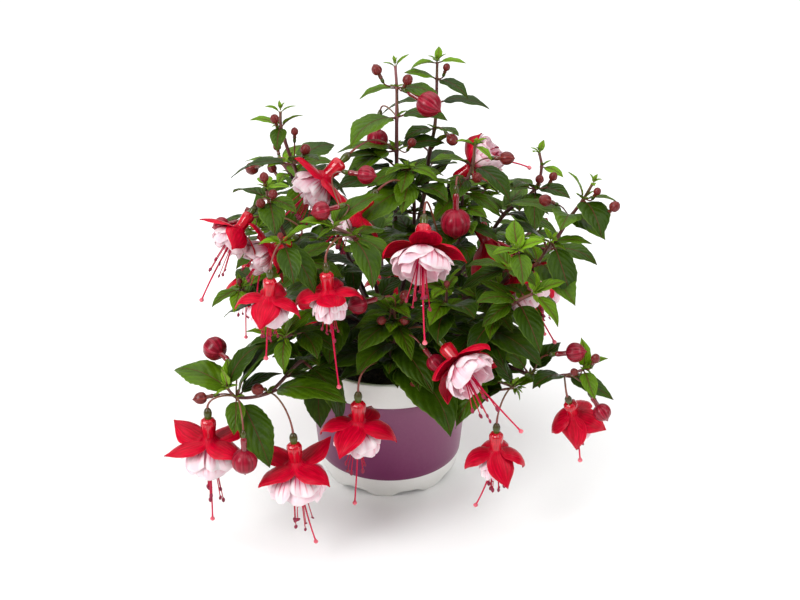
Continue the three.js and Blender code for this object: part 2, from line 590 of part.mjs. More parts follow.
// A sepal leaves the tube's end and curves along a circular arc
function sepal(end, aim, { across, up }, [bearing, startDegrees, endDegrees]) {
  const turn = THREE.MathUtils.degToRad(bearing);
  const outward = across.clone().multiplyScalar(Math.cos(turn)).addScaledVector(up, Math.sin(turn));
  const edgeways = across.clone().multiplyScalar(-Math.sin(turn)).addScaledVector(up, Math.cos(turn));
  const start = THREE.MathUtils.degToRad(startDegrees);
  const sweep = THREE.MathUtils.degToRad(endDegrees) - start;
  const radius = -SEPAL_LENGTH / sweep;
  const section = (share, halfWidth, depth) => {
    const angle = start + sweep * share;
    const out = SEPAL_FOOT_OFFSET + radius * (Math.cos(angle) - Math.cos(start));
    const at = along(along(end, outward, out), aim, radius * (Math.sin(start) - Math.sin(angle)));
    const normal = outward.clone().multiplyScalar(Math.cos(angle)).addScaledVector(aim, -Math.sin(angle));
    return { at, across: edgeways, up: normal, width: halfWidth, height: depth };
  };
  return loft([
    section(0, SEPAL_FOOT_HALF_WIDTH, SEPAL_DEPTH),
    section(SEPAL_BELLY_SHARE, SEPAL_HALF_WIDTH, SEPAL_DEPTH),
    section(1, 0, 0),
  ], THIN_SIDES);
}

// The long style ends in a thicker stigma
function pistil(spec, end, aim, { across, up }) {
  const swing = along(new THREE.Vector3(), across, spec.sway[0]).addScaledVector(up, spec.sway[1]);
  const tip = along(end, aim, spec.style).add(swing);
  const bend = along(end, aim, spec.style * 0.6).addScaledVector(swing, 0.15);
  const curve = new THREE.QuadraticBezierCurve3(along(end, aim, STYLE_ROOT), bend, tip);
  return stalk(curve, 3, THIN_SIDES, (share) => (share < 0.99 ? STYLE_RADIUS : STIGMA_RADIUS));
}

// Ovary, tube and corolla are one turned body, whose open end is a shallow hollow
function flower(spec, shoot) {
  const aim = vec(spec.aim).normalize();
  const top = vec(spec.top);
  const mouth = OVARY_LENGTH + TUBE_LENGTH;
  const profile = [
    [0, OVARY_END_RADIUS],
    [OVARY_BELLY, OVARY_RADIUS],
    [OVARY_LENGTH, OVARY_NECK_RADIUS],
    [OVARY_LENGTH + TUBE_SHOULDER, TUBE_RADIUS],
    [mouth, TUBE_MOUTH_RADIUS],
    [mouth + COROLLA_SHOULDER, 0.8 * spec.skirt],
    [mouth + COROLLA_LENGTH, spec.skirt],
    [mouth + COROLLA_HOLLOW, COROLLA_HOLLOW_RADIUS],
  ];
  const body = loft(profile.map(([h, r]) => roundSection(along(top, aim, h), aim, r)), FLOWER_SIDES);
  const end = along(top, aim, mouth);
  const frame = flowerFrame(aim);
  const sepals = spec.sepals.map((place) => sepal(end, aim, frame, place));
  return join([body, ...sepals, pistil(spec, end, aim, frame), pedicel(spec, shoot, top, aim)]);
}

// Stem and swollen buds of a shoot, without its leaves
function bareShoot(shoot) {
  const buds = shoot.swollen.map(([number, x, y, z, ax, ay, az, diameter]) => (
    swollenBud(vec([x, y, z]), vec([ax, ay, az]).normalize(), diameter, nodePoint(shoot, number))
  ));
  return join([stem(shoot), ...buds]);
}

const pieces = new Map();
pieces.set("pot", pot());
pieces.set("label_band", labelBand());
pieces.set("soil", soil());
pieces.set("woody_crown", woodyCrown());
const shootByName = new Map(SHOOTS.map((shoot) => [shoot.name, shoot]));
for (const spec of FLOWERS) pieces.set(spec.name, flower(spec, shootByName.get(spec.shoot)));
for (const shoot of SHOOTS) pieces.set(shoot.name, bareShoot(shoot));

// Each leaf joins its shoot at the first of its places where it clears every other piece and leaf
for (const shoot of SHOOTS) {
  const others = [...pieces].filter(([name]) => name !== shoot.name).map(([, body]) => body);
  const blades = [];
  for (const [number, x, y, z] of shoot.leaves) {
    const base = nodePoint(shoot, number);
    const tips = LEAF_TRIES.map(([lift, reach]) => (
      along(vec([x, y, z]).sub(base).multiplyScalar(reach).add(base), UPWARDS, lift)
    ));
    const tip = tips.find((place) => {
      const sections = leafSections(base, place, LEAF_CLEARANCE);
      const wholeLeaf = loft(sections, THIN_SIDES);
      const blade = loft(sections.slice(1), THIN_SIDES);
      if (others.some((body) => touches(wholeLeaf, body))) return false;
      if (blades.some((body) => touches(blade, body))) return false;
      blades.push(blade);
      return true;
    });
    if (!tip) throw new Error(`no room for leaf ${number}, ${x}, ${y}, ${z} of ${shoot.name}`);
    const leaf = loft(leafSections(base, tip, 0), THIN_SIDES);
    pieces.set(shoot.name, pieces.get(shoot.name).add(leaf));
  }
}

function mesh(name, body) {
  const { vertProperties, triVerts } = body.getMesh();
  const geometry = new THREE.BufferGeometry();
  geometry.setAttribute("position", new THREE.BufferAttribute(Float32Array.from(vertProperties), 3));
  geometry.setIndex(new THREE.BufferAttribute(Uint32Array.from(triVerts), 1));
  geometry.computeVertexNormals();
  const [color, roughness] = FINISHES[name] || FINISHES[name.split("_")[0]];
  const material = new THREE.MeshStandardMaterial({ color, roughness, metalness: 0 });
  const piece = new THREE.Mesh(geometry, material);
  piece.name = name;
  return piece;
}

const plant = new THREE.Group();
for (const [name, body] of pieces) plant.add(mesh(name, body));
export default plant;
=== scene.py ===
"""A potted fuchsia with double flowers, in a 12 cm pot. Shapes are worked out in millimetres,
with +Z up and the front towards -Y, and are scaled to metres when their meshes are made."""

import math
import zlib

import bmesh
import bpy
import numpy as np
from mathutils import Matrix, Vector, noise


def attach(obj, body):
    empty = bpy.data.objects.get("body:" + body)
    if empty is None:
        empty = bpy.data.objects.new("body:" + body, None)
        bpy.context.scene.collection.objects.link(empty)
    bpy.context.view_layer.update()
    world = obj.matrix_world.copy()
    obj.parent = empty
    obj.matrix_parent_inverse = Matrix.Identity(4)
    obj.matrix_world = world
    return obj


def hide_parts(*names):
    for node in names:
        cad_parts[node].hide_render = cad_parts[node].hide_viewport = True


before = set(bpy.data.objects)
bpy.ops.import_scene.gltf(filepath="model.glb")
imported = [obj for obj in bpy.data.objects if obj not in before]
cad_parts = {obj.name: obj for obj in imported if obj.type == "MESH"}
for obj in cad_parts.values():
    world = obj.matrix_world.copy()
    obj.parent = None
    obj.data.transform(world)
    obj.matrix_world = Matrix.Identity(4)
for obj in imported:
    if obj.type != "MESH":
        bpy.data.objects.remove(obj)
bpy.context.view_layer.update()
MM = 0.001
UP = np.array([0.0, 0.0, 1.0])

# The pot's outside as (height, radius), and the other sizes of the pot, its label and its soil
POT_OUTLINE = [(0, 48.3), (6, 50.2), (16.6, 52.1), (79.9, 57.7), (96, 59.3), (100, 60)]
POT_HEIGHT = 100
POT_SIDES = 192
SOIL_SIDES = 150
RIM_WALL = 2.6
WALL = 2.5
FEET = 8
FOOT_ARCH = 3.2
FOOT_CENTRE = -5.6
FOOT_RING = 3.3
FLOOR_UNDERSIDE = 5
FLOOR_TOP = 7
DRAIN_RADIUS = 4
DRAIN_CIRCLE = 34
BAND_BOTTOM = 16.6
BAND_TOP = 79.9
SOIL_TOP = 90
SOIL_MOUND = 2.5
MOUND_RADIUS = 30
MOUND_SLOPE = 18
CRUMBS = 260

# The woody crown and the stems
CROWN = np.array([0.0, 0.0, 99.0])
ARM_LENGTH = 27.3
ARM_BASE_RADIUS = 3.1
BARK_GRAIN = 0.85
STEM_BASE_RADIUS = 1.6
STEM_TIP_RADIUS = 0.9
STEM_STEPS = 10

# The leaves: a long leaf droops more
LEAF_WIDTH = 0.46
PETIOLE_SHARE = 0.14
DROOP_BASE = 0.35
DROOP_PER_MM = 0.012
LEAF_PAIRS = 5.5
VEIN_SLANT = 0.3
LEAF_THICKNESS = 0.35
LEAF_COLUMNS = np.array([-1, -0.8, -0.5, -0.2, 0, 0.2, 0.5, 0.8, 1])
LEAF_TRIES = [
    (0, 1), (5, 1), (-5, 1), (10, 1), (-10, 1), (0, 0.86), (7, 0.86), (-7, 0.86), (14, 0.86), (-14, 0.86),
    (0, 0.7), (8, 0.7), (-8, 0.7), (16, 0.7), (-16, 0.7), (0, 0.55), (10, 0.55), (-10, 0.55),
]

# The flowers: one whose skirt's radius is OPEN_SKIRT or more is fully open
PEDICEL_RADIUS = 0.65
OVARY_LENGTH = 8
TUBE_LENGTH = 15
MOUTH = OVARY_LENGTH + TUBE_LENGTH
MOUTH_RADIUS = 4.2
SEPAL_LENGTH = 28
SEPAL_ROWS = 20
SEPAL_COLUMNS = 11
SEPAL_THICKNESS = 0.45
COROLLA_LENGTH = 22
PETAL_ROWS = 12
PETAL_COLUMNS = 13
PETAL_THICKNESS = 0.3
STAMENS = 8
STYLE_RADIUS = 0.6
OPEN_SKIRT = 13

# The corolla's tiers as (petals, degrees to each side, ruffle, course). A course is a petal's way down as
# (distance past the tube's mouth, share of the way out to the skirt's radius).
COROLLA_TIERS = [
    (4, 46, 1.9, [(-1, 0), (5, 0.28), (12, 0.5), (17, 0.62), (21.5, 0.58)]),
    (5, 45, 1.2, [(-1.5, 0), (3, 0.42), (8, 0.76), (13, 0.9), (18, 0.88), (21, 0.74)]),
    (5, 36, 1.7, [(-1, 0.1), (3, 0.5), (7, 0.84), (11, 0.99), (15, 1.02)]),
]

# Half a sepal's width in mm, along it from the tube to the tip
SEPAL_OUTLINE = [(0, 3.4), (0.05, 5.2), (0.11, 7.9), (0.2, 10.1), (0.33, 11.1), (0.47, 10.8), (0.61, 9.3),
                 (0.74, 6.8), (0.86, 3.7), (0.94, 1.5), (1, 0.15)]

# Which material of a shoot's stem piece is which, after that of the stem
PETIOLE_KIND, STALK_KIND, OVARY_KIND, TUBE_KIND, SWOLLEN_KIND, SMALL_KIND = range(1, 7)

# And which material of a flower's calyx piece is which, after that of its stalk
OVARY_PART, TUBE_PART, SEPAL_PART, FILAMENT_PART, ANTHER_PART, PISTIL_PART, STIGMA_PART = range(1, 8)

# How many more leaves each point of a stem may carry where there is room
FILLERS_USUAL = 3
FILLERS = {"shoot_top_centre": 1, "shoot_top_right": 1}

# Leaves that the frame leaves out, as (shoot, point number, tip x, y, z)
MORE_LEAVES = [
    ("shoot_lower_left", 4, -71, -104, 157), ("shoot_lower_left", 5, -82, -100, 157),
    ("shoot_lower_left", 5, -105, -112, 147), ("shoot_centre_left", 3, -4, -70, 249),
    ("shoot_centre_high", 2, -23, -50, 214), ("shoot_top_centre", 2, -31, -10, 232),
    ("shoot_right_mid", 3, 116, -94, 184), ("shoot_low_right_inner", 3, 42, -76, 77),
    ("shoot_right_low", 1, 63, -94, 134), ("shoot_right_inner", 1, 80, -88, 158),
    ("shoot_front_centre", 3, 16, -96, 142), ("shoot_front_centre", 2, -22, -98, 134),
    ("shoot_lower_left", 1.5, -46, -84, 80), ("shoot_top_right", 2, 47, 18, 253),
    ("shoot_top_right", 1, 46, 4, 238), ("shoot_top_right", 1, 6, 34, 229),
    ("shoot_top_centre", 1.5, -28, -12, 250), ("shoot_top_centre", 1, 22, -16, 216),
    ("shoot_top_centre", 1, -9, -22, 215), ("shoot_centre_high", 2, 38, -44, 231),
    ("shoot_centre_right", 3, 25, -26, 238), ("shoot_centre_high", 1, 38, -56, 210),
    ("shoot_centre_left", 2, 4, -90, 206),
]

# Where a leaf takes up room, as shares along it, and a flower, as distances down from its top and as the
# distance of its sepals' tips from its axis
LEAF_MARKS = [0.35, 0.55, 0.75, 0.95]
FILLER_MARKS = [0.45, 0.75, 1.0]
FLOWER_MARKS = (6, 18, 28, 38, 48)
SEPAL_MARK = 18.0

# The fillers stay inside an egg-shaped bush, out of the airy space between the two tallest stems and
# clear of the pot, with some room to what is there
BUSH_MIDDLE = (6, 8, 158)
BUSH_REACH = (120, 128, 84)
AIRY = [(8, -40, 250), (46, 60, 300)]
FILLER_TRIES = 36
FILLER_ROOM = 5.0
POT_CLEARANCE = 66
POT_CLEAR_HEIGHT = 104

# Small things on the stems: the swelling at each point, tufts of tiny leaves, and buds light enough to
# stand up
NODE_SWELL = 0.28
NODE_LENGTH = 0.9
TUFT_CHANCE = 0.45
LIGHT_BUD = 7.5

# The soft lights as (name, place, width and height, watts), and the point they are turned to
LIT_POINT = (0, 0, 0.14)
SOFT_LIGHTS = [
    ("light above", (0, 0.7, 2.4), (4.4, 4.4), 100),
    ("light left", (-0.95, -0.85, 1.0), (0.6, 0.8), 18),
    ("light right", (1.1, -0.6, 0.8), (0.5, 0.9), 8),
]

# Each stem runs from the crown through its points. A leaf is (point number, tip x, y, z), and then what
# share of that length is shown, if not all. A swollen bud is (point number, x, y, z, aim x, y, z,
# diameter), and a small one (point number, x, y, z, diameter).
SHOOTS = {
    "shoot_top_centre": {
        "stem": [(5, 8, 217), (5, 6, 245), (5, 5, 269), (5, 4, 290), (4, 3, 305)],
        "leaves": [(1, -40, -40, 230), (1, 50, 36, 200), (2, -36, 2, 247), (2, 39, 20, 246),
                   (3, -26, -28, 262), (3, 39, -6, 273), (4, -20, -6, 286), (4, 34, -8, 287)],
        "swollen": [(3, 26, -12, 284, 0.75, -0.5, -0.3, 17), (3, -8, 12, 250, -0.1, -0.3, -0.9, 15)],
        "small": [(4, -8, -2, 304, 7), (4, 12, -4, 298, 7), (2, 15, -8, 256, 6)]},
    "shoot_top_right": {
        "stem": [(25, 30, 205), (28, 30, 234), (31, 28, 252), (32, 27, 271), (32, 26, 288),
                 (32, 25, 300)],
        "leaves": [(3, 47, 8, 255), (3, 10, 12, 251), (4, -6, 38, 261), (4, 68, 14, 273),
                   (5, 10, 12, 298), (5, 53, 4, 284), (6, 14, 18, 299), (6, 51, 16, 303)],
        "small": [(5, 38, 18, 299, 5), (3, 42, 2, 254, 8)]},
    "shoot_upper_left": {
        "stem": [(-43, -5, 204), (-59, -12, 231), (-63, -16, 244), (-68, -20, 263), (-70, -20, 272),
                 (-70, -20, 282)],
        "leaves": [(2, -65, -52, 216), (2, -46, 25, 226), (3, -106, -18, 237), (3, -41, -50, 246),
                   (3, -36, 12, 248), (5, -90, -22, 278), (5, -55, -26, 283), (5, -71, -44, 265)],
        "small": [(5, -73, -30, 281, 6), (3, -61, -24, 270, 5), (3, -54, -30, 260, 7),
                  (3, -93, 10, 230, 9)]},
    "shoot_left_high": {
        "stem": [(-59, -35, 182), (-72, -55, 223), (-76, -62, 239), (-77, -64, 248)],
        "leaves": [(2, -112, -24, 200), (3, -101, -42, 238), (3, -70, -92, 229), (3, -58, -72, 235),
                   (4, -61, -76, 254), (4, -79, -42, 247)],
        "swollen": [(2, -107, -62, 221, -0.95, -0.1, -0.2, 11)],
        "small": [(4, -78, -66, 256, 6), (3, -72, -76, 249, 6), (3, -80, -74, 242, 6)]},
    "shoot_left_mid": {
        "stem": [(-39, -45, 158), (-60, -78, 203), (-65, -92, 223)],
        "leaves": [(2, -92, -86, 189), (2, -37, -90, 182), (3, -58, -116, 202), (3, -45, -110, 202),
                   (3, -81, -96, 225), (3, -47, -96, 237)],
        "small": [(3, -66, -104, 234, 4)]},
    "shoot_left_low": {
        "stem": [(-58, -30, 127), (-84, -52, 160), (-97, -60, 174)],
        "leaves": [(1, -81, -10, 103), (2, -112, -44, 145), (2, -84, -45, 188), (3, -115, -76, 170),
                   (3, -100, -84, 171)],
        "small": [(3, -97, -64, 182, 4)]},
    "shoot_front_left": {
        "stem": [(-30, -52, 150), (-57, -82, 155), (-66, -100, 161)],
        "leaves": [(1, -39, -86, 132), (2, -96, -112, 135), (2, -105, -84, 130), (2, -45, -110, 152),
                   (3, -91, -98, 165), (3, -66, -118, 146), (3, -56, -98, 176)]},
    "shoot_lower_left": {
        "stem": [(-36, -46, 119), (-57, -76, 130), (-79, -98, 118), (-98, -106, 120), (-103, -110, 129)],
        "leaves": [(2, -30, -88, 79), (3, -25, -112, 133), (4, -143, -78, 126), (4, -69, -94, 132),
                   (4, -99, -126, 104), (4, -76, -128, 80), (5, -104, -96, 143)],
        "swollen": [(4, -92, -132, 88, 0, -0.1, -1, 17), (4, -114, -78, 140, -0.6, 0.75, 0.1, 16)],
        "small": [(4, -120, -112, 123, 8), (3, -84, -108, 127, 8)]},
    "shoot_front_centre": {
        "stem": [(3, -54, 114), (4, -62, 135), (4, -68, 154), (2, -72, 168)],
        "leaves": [(1, -50, -88, 130), (1, -36, -74, 102), (1, 41, -112, 94), (2, 29, -108, 125),
                   (3, -20, -98, 149), (3, 23, -92, 167), (4, -10, -82, 182), (4, 14, -92, 171)],
        "swollen": [(2, 30, -92, 137, 0.6, -0.3, -0.7, 12), (3, -20, -88, 178, -0.95, -0.2, -0.2, 13)],
        "small": [(4, -5, -84, 164, 6), (4, 10, -84, 164, 6), (4, 10, -80, 180, 7)]},
    "shoot_centre_left": {
        "stem": [(-11, -48, 178), (-23, -78, 221), (-34, -86, 231)],
        "leaves": [(1, 2, -72, 197), (2, -9, -112, 202), (2, -41, -92, 218), (3, -55, -94, 234),
                   (3, -28, -70, 242)],
        "swollen": [(3, -42, -88, 243, -0.9, -0.3, -0.1, 12), (2, -14, -62, 256, 0.9, -0.3, 0, 12)]},
    "shoot_centre_high": {
        "stem": [(16, -12, 187), (16, -13, 224), (12, -14, 240)],
        "leaves": [(1, -9, -48, 203), (2, 37, -32, 221), (3, 33, -30, 239), (3, -3, -34, 244)]},
    "shoot_front_right": {
        "stem": [(28, -58, 142), (36, -72, 164), (37, -76, 182)],
        "leaves": [(1, 58, -78, 149), (1, 20, -84, 144), (2, 14, -88, 166), (2, 53, -112, 182),
                   (3, 27, -94, 186), (3, 45, -80, 200)],
        "small": [(3, 36, -94, 196, 4)]},
    "shoot_centre_right": {
        "stem": [(41, -30, 179), (48, -28, 205), (49, -16, 224), (55, -16, 243), (56, -18, 258)],
        "leaves": [(2, 33, -58, 190), (2, 73, -40, 200), (3, 76, -24, 210), (3, 28, -40, 213),
                   (4, 26, -34, 254), (4, 79, -44, 231), (5, 43, -24, 264), (5, 67, -30, 253)],
        "swollen": [(3, 43, -48, 216, 0, -0.1, -1, 20)],
        "small": [(4, 76, -30, 254, 9), (4, 57, -34, 242, 7)]},
    "shoot_right_inner": {
        "stem": [(62, -50, 160), (78, -74, 195), (80, -88, 216)],
        "leaves": [(1, 57, -70, 186), (2, 31, -72, 197), (2, 91, -104, 201), (3, 63, -98, 219),
                   (3, 79, -70, 230), (3, 97, -88, 223), (3, 82, -112, 204)]},
    "shoot_right_high": {
        "stem": [(64, 20, 163), (80, 16, 193), (100, 10, 215), (103, 6, 233), (101, 5, 243)],
        "leaves": [(1, 77, -8, 166), (2, 98, -8, 198), (2, 63, 28, 205), (3, 122, -8, 217),
                   (3, 83, -12, 227), (4, 117, -6, 231)],
        "small": [(3, 101, -4, 228, 6), (3, 110, -4, 230, 6)]},
    "shoot_right_tip": {
        "stem": [(80, -8, 158), (106, -32, 190), (118, -42, 218), (125, -46, 232), (130, -48, 244)],
        "leaves": [(2, 138, -46, 186), (2, 79, -40, 215), (3, 74, -26, 221), (3, 147, -88, 216, 0.66),
                   (3, 107, -80, 228), (4, 115, -46, 253), (4, 145, -60, 238), (4, 133, -82, 222)],
        "small": [(4, 132, -56, 242, 5), (3, 142, -66, 236, 7), (3, 100, -52, 234, 8)]},
    "shoot_right_mid": {
        "stem": [(76, -32, 142), (96, -60, 193), (103, -70, 213)],
        "leaves": [(1, 102, -60, 156), (2, 117, -102, 186), (2, 79, -60, 214), (3, 86, -82, 220),
                   (3, 128, -78, 216)]},
    "shoot_right_low": {
        "stem": [(58, -64, 145), (81, -88, 180), (90, -98, 191)],
        "leaves": [(1, 98, -108, 146), (1, 74, -100, 146), (2, 54, -106, 190), (2, 95, -122, 162),
                   (3, 111, -92, 192), (3, 92, -88, 207), (3, 106, -112, 175)]},
    "shoot_lower_right": {
        "stem": [(63, -50, 119), (93, -78, 120), (114, -86, 124), (126, -90, 131)],
        "leaves": [(1, 95, -50, 130), (2, 97, -104, 127), (2, 114, -60, 136), (3, 91, -108, 125),
                   (3, 145, -104, 117), (4, 125, -88, 153), (4, 141, -92, 146), (4, 132, -110, 121)],
        "swollen": [(2, 120, -92, 145, 0.8, -0.2, 0.2, 13), (3, 138, -104, 107, 0.5, -0.3, -0.7, 12)],
        "small": [(4, 132, -98, 144, 6), (4, 119, -98, 134, 5)]},
    "shoot_low_right_inner": {
        "stem": [(40, -54, 114), (66, -72, 114), (82, -84, 114)],
        "leaves": [(1, 53, -86, 101), (2, 43, -98, 88), (2, 87, -62, 128), (3, 100, -78, 123),
                   (3, 64, -76, 137)],
        "small": [(1, 16, -86, 117, 5)]},
    "shoot_back_left_high": {
        "stem": [(-46, 34, 180), (-66, 50, 202), (-76, 56, 214)],
        "leaves": [(1, -78, 18, 172), (1, -30, 62, 178), (2, -98, 34, 190), (2, -60, 84, 192),
                   (3, -104, 62, 214), (3, -62, 76, 222)],
        "small": [(3, -80, 64, 224, 6), (2, -84, 62, 208, 7)]},
    "shoot_back_left": {
        "stem": [(-54, 40, 138), (-84, 60, 150), (-98, 68, 157)],
        "leaves": [(1, -84, 24, 128), (1, -46, 76, 138), (2, -112, 38, 140), (2, -80, 98, 140),
                   (3, -126, 62, 150), (3, -104, 96, 156), (3, -96, 62, 178)],
        "small": [(3, -104, 74, 168, 6)]},
    "shoot_back_low_left": {
        "stem": [(-44, 50, 116), (-70, 82, 112), (-80, 94, 104)],
        "leaves": [(1, -80, 50, 110), (1, -34, 84, 120), (2, -108, 84, 98), (2, -64, 120, 104),
                   (3, -98, 116, 84), (3, -72, 108, 72)],
        "swollen": [(3, -76, 108, 90, 0.1, 0.4, -0.9, 14)],
        "small": [(3, -88, 104, 108, 6)]},
    "shoot_back": {
        "stem": [(-6, 58, 140), (-8, 92, 146), (-8, 112, 144)],
        "leaves": [(1, -40, 74, 146), (1, 26, 78, 150), (2, -46, 108, 132), (2, 30, 110, 140),
                   (3, -26, 134, 130), (3, 14, 136, 132), (3, -6, 114, 166)],
        "small": [(3, -16, 122, 150, 7), (3, 4, 120, 152, 6)]},
    "shoot_back_low_right": {
        "stem": [(46, 54, 114), (68, 88, 110), (76, 100, 103)],
        "leaves": [(1, 80, 52, 116), (1, 30, 86, 122), (2, 104, 86, 98), (2, 54, 124, 104),
                   (3, 98, 118, 84), (3, 66, 118, 70)],
        "swollen": [(2, 80, 104, 86, 0.1, 0.4, -0.9, 15)],
        "small": [(3, 86, 108, 108, 6)]},
    "shoot_back_right": {
        "stem": [(58, 38, 136), (88, 58, 148), (104, 66, 155)],
        "leaves": [(1, 90, 24, 130), (1, 46, 76, 142), (2, 118, 36, 142), (2, 78, 96, 142),
                   (3, 132, 56, 150), (3, 108, 98, 148), (3, 98, 60, 176)],
        "small": [(3, 110, 74, 164, 7), (3, 114, 62, 166, 5)]},
    "shoot_back_right_high": {
        "stem": [(42, 44, 162), (60, 60, 180), (70, 66, 190)],
        "leaves": [(1, 76, 28, 168), (1, 20, 70, 168), (2, 92, 44, 184), (2, 44, 96, 174),
                   (3, 102, 70, 192), (3, 62, 90, 202), (3, 58, 44, 204)],
        "small": [(3, 76, 74, 200, 7), (3, 66, 74, 204, 6)]},
}

# A flower hangs from a point of a shoot. top is where its stalk meets the ovary, aim the direction it
# faces in the frame, faces another one that the photograph shows, skirt the corolla's radius, and style
# how far the pistil reaches past the tube. sway is how far the pistil's tip swings aside, and stigma the
# place where it ends instead. long is the corolla's length and stamens the reach of the stamens, both
# against the usual, and size the scale of a smaller flower. Each sepal is (bearing, angle from the axis
# near its foot, angle at its tip), and then how late it bends, if not as usual.
WIDE = [(45, 100, 62), (135, 100, 62), (225, 98, 55), (315, 98, 55)]
ARCHED = [(0, 112, 38), (90, 105, 60), (180, 112, 38), (270, 100, 50)]
TURNED = [(75, 105, 50), (165, 112, 4), (242, 94, 20), (342, 108, 0)]
HALF = [(20, 62, 8), (110, 60, 5), (200, 64, 8), (290, 50, 5)]
FLOWERS = {
    "flower_left_low": {
        "shoot": "shoot_lower_left", "at": 4, "top": (-116, -114, 117), "aim": (0, -0.05, -1),
        "skirt": 17, "style": 61, "sway": (-1, 0), "long": 1.12, "stamens": 1.15,
        "sepals": [(30, 105, 88), (150, 108, 88), (212, 98, 62), (322, 97, 58)]},
    "flower_front_left": {
        "shoot": "shoot_lower_left", "at": 3, "top": (-62, -114, 98), "aim": (0.05, -0.05, -1),
        "skirt": 20, "style": 60, "sway": (9, -2), "long": 1.2, "stamens": 1.18,
        "sepals": [(40, 112, 96), (140, 110, 88), (217, 99, 58), (323, 99, 58)]},
    "flower_front": {
        "shoot": "shoot_front_centre", "at": 1, "top": (-20, -102, 122), "aim": (0, -0.05, -1),
        "skirt": 15.5, "style": 62, "sway": (-3, 0), "sepals": TURNED},
    "flower_front_right": {
        "shoot": "shoot_low_right_inner", "at": 3, "top": (70, -104, 99), "aim": (0, -0.02, -1),
        "skirt": 11, "style": 43, "sway": (-12, 0), "size": 0.93,
        "sepals": [(2, 106, -14, 1.15), (90, 105, 20), (178, 106, -14, 1.15), (288, 52, 6)]},
    "flower_right_low": {
        "shoot": "shoot_lower_right", "at": 3, "top": (115, -102, 118), "aim": (-0.02, -0.05, -1),
        "faces": (0.3, 0.34, -0.88), "skirt": 12, "style": 36, "sway": (6, -6),
        "stigma": (126, -104, 70), "size": 0.88,
        "sepals": [(172, 84, -10), (245, 58, -8), (330, 80, -12), (75, 76, 16)]},
    "flower_left_mid": {
        "shoot": "shoot_left_mid", "at": 3, "top": (-72, -113, 216), "aim": (-0.08, -0.05, -1),
        "skirt": 14.5, "style": 42, "sway": (0, 0), "size": 0.84,
        "sepals": [(75, 110, 60), (176, 118, -12), (260, 84, 18), (350, 112, -16)]},
    "flower_centre_left": {
        "shoot": "shoot_centre_left", "at": 2, "top": (-39, -104, 216), "aim": (0.06, -0.08, -1),
        "skirt": 13, "style": 66, "sway": (2, 0), "size": 0.86,
        "sepals": [(5, 118, 4), (90, 110, 60), (178, 122, -6), (272, 108, 74)]},
    "flower_centre": {
        "shoot": "shoot_centre_right", "at": 1, "top": (22, -70, 233), "aim": (-0.05, -0.62, -0.78),
        "faces": (-0.05, -0.78, -0.63), "skirt": 18.5, "style": 60, "sway": (4, -8),
        "sepals": [(2, 118, 12), (90, 100, 50), (180, 118, 8), (272, 116, 44)]},
    "flower_side": {
        "shoot": "shoot_front_centre", "at": 2.4, "top": (31, -92, 156), "aim": (0.62, -0.42, -0.66),
        "faces": (0.54, -0.76, -0.34), "skirt": 16.5, "style": 56, "sway": (4, -6),
        "sepals": [(305, 104, 0), (30, 92, 50), (125, 104, 14), (205, 112, 16)]},
    "flower_top_right": {
        "shoot": "shoot_centre_right", "at": 3, "top": (40, 12, 215), "aim": (0.72, 0, 0.68),
        "skirt": 14, "style": 44, "sway": (4, -30), "stigma": (93, -10, 239), "stamens": 0.6,
        "sepals": [(0, 112, 20), (90, 104, 62), (176, 86, -48), (268, 100, 50)]},
    "flower_left_high": {
        "shoot": "shoot_left_high", "at": 3, "top": (-84, -62, 235), "aim": (-0.5, -0.3, -0.8),
        "faces": (-0.55, -0.5, -0.62), "skirt": 14, "style": 50, "sway": (0, -6), "size": 0.82,
        "sepals": [(20, 84, 30), (110, 95, 50), (200, 88, 36), (290, 70, 20)]},
    "flower_left_back": {
        "shoot": "shoot_left_high", "at": 2, "top": (-57, -62, 214), "aim": (-0.5, -0.3, -0.8),
        "faces": (-0.85, -0.3, -0.35), "skirt": 12, "style": 34, "sway": (0, 0), "size": 0.86,
        "sepals": WIDE},
    "flower_upper_left": {
        "shoot": "shoot_top_centre", "at": 2, "top": (-25, -28, 257), "aim": (-0.72, -0.3, -0.62),
        "skirt": 14, "style": 40, "sway": (0, 0), "sepals": WIDE},
    "flower_upper_back": {
        "shoot": "shoot_centre_high", "at": 2, "top": (-7, -42, 237), "aim": (-0.7, -0.2, -0.68),
        "skirt": 13, "style": 40, "sway": (0, 0), "size": 0.86, "sepals": ARCHED},
    "flower_right_mid": {
        "shoot": "shoot_right_inner", "at": 2, "top": (72, -54, 202), "aim": (0.5, -0.25, -0.83),
        "skirt": 14, "style": 50, "sway": (0, 0), "sepals": WIDE},
    "flower_inner_right": {
        "shoot": "shoot_centre_right", "at": 2, "top": (57, -14, 208), "aim": (0.4, -0.3, -0.86),
        "skirt": 12, "style": 29, "sway": (0, 0), "sepals": HALF},
    "flower_back_left": {
        "shoot": "shoot_back_left", "at": 3, "top": (-106, 74, 132), "aim": (-0.1, 0.1, -1),
        "skirt": 13, "style": 55, "sway": (2, 0), "size": 0.86, "sepals": HALF},
    "flower_back": {
        "shoot": "shoot_back", "at": 3, "top": (4, 112, 116), "aim": (0.05, 0.08, -1),
        "skirt": 15, "style": 55, "sway": (-3, 2), "sepals": TURNED},
    "flower_back_right": {
        "shoot": "shoot_back_right", "at": 3, "top": (112, 76, 132), "aim": (0.1, 0.1, -1),
        "skirt": 15, "style": 52, "sway": (2, 2), "sepals": ARCHED},
    "flower_back_low": {
        "shoot": "shoot_back_low_left", "at": 2, "top": (-52, 100, 96), "aim": (0, 0.1, -1),
        "skirt": 14, "style": 50, "sway": (0, 2), "sepals": WIDE},
}

# The camera, from the photograph: where it stands, what it looks at and how far that is off centre
CAMERA_AT = (0, -0.8881, 0.6096)
LOOKS_AT = (0, 0, 0.150)
FOCAL_MM = 64.42
SENSOR_MM = 36
SHIFT = (0.0136, -0.0253)


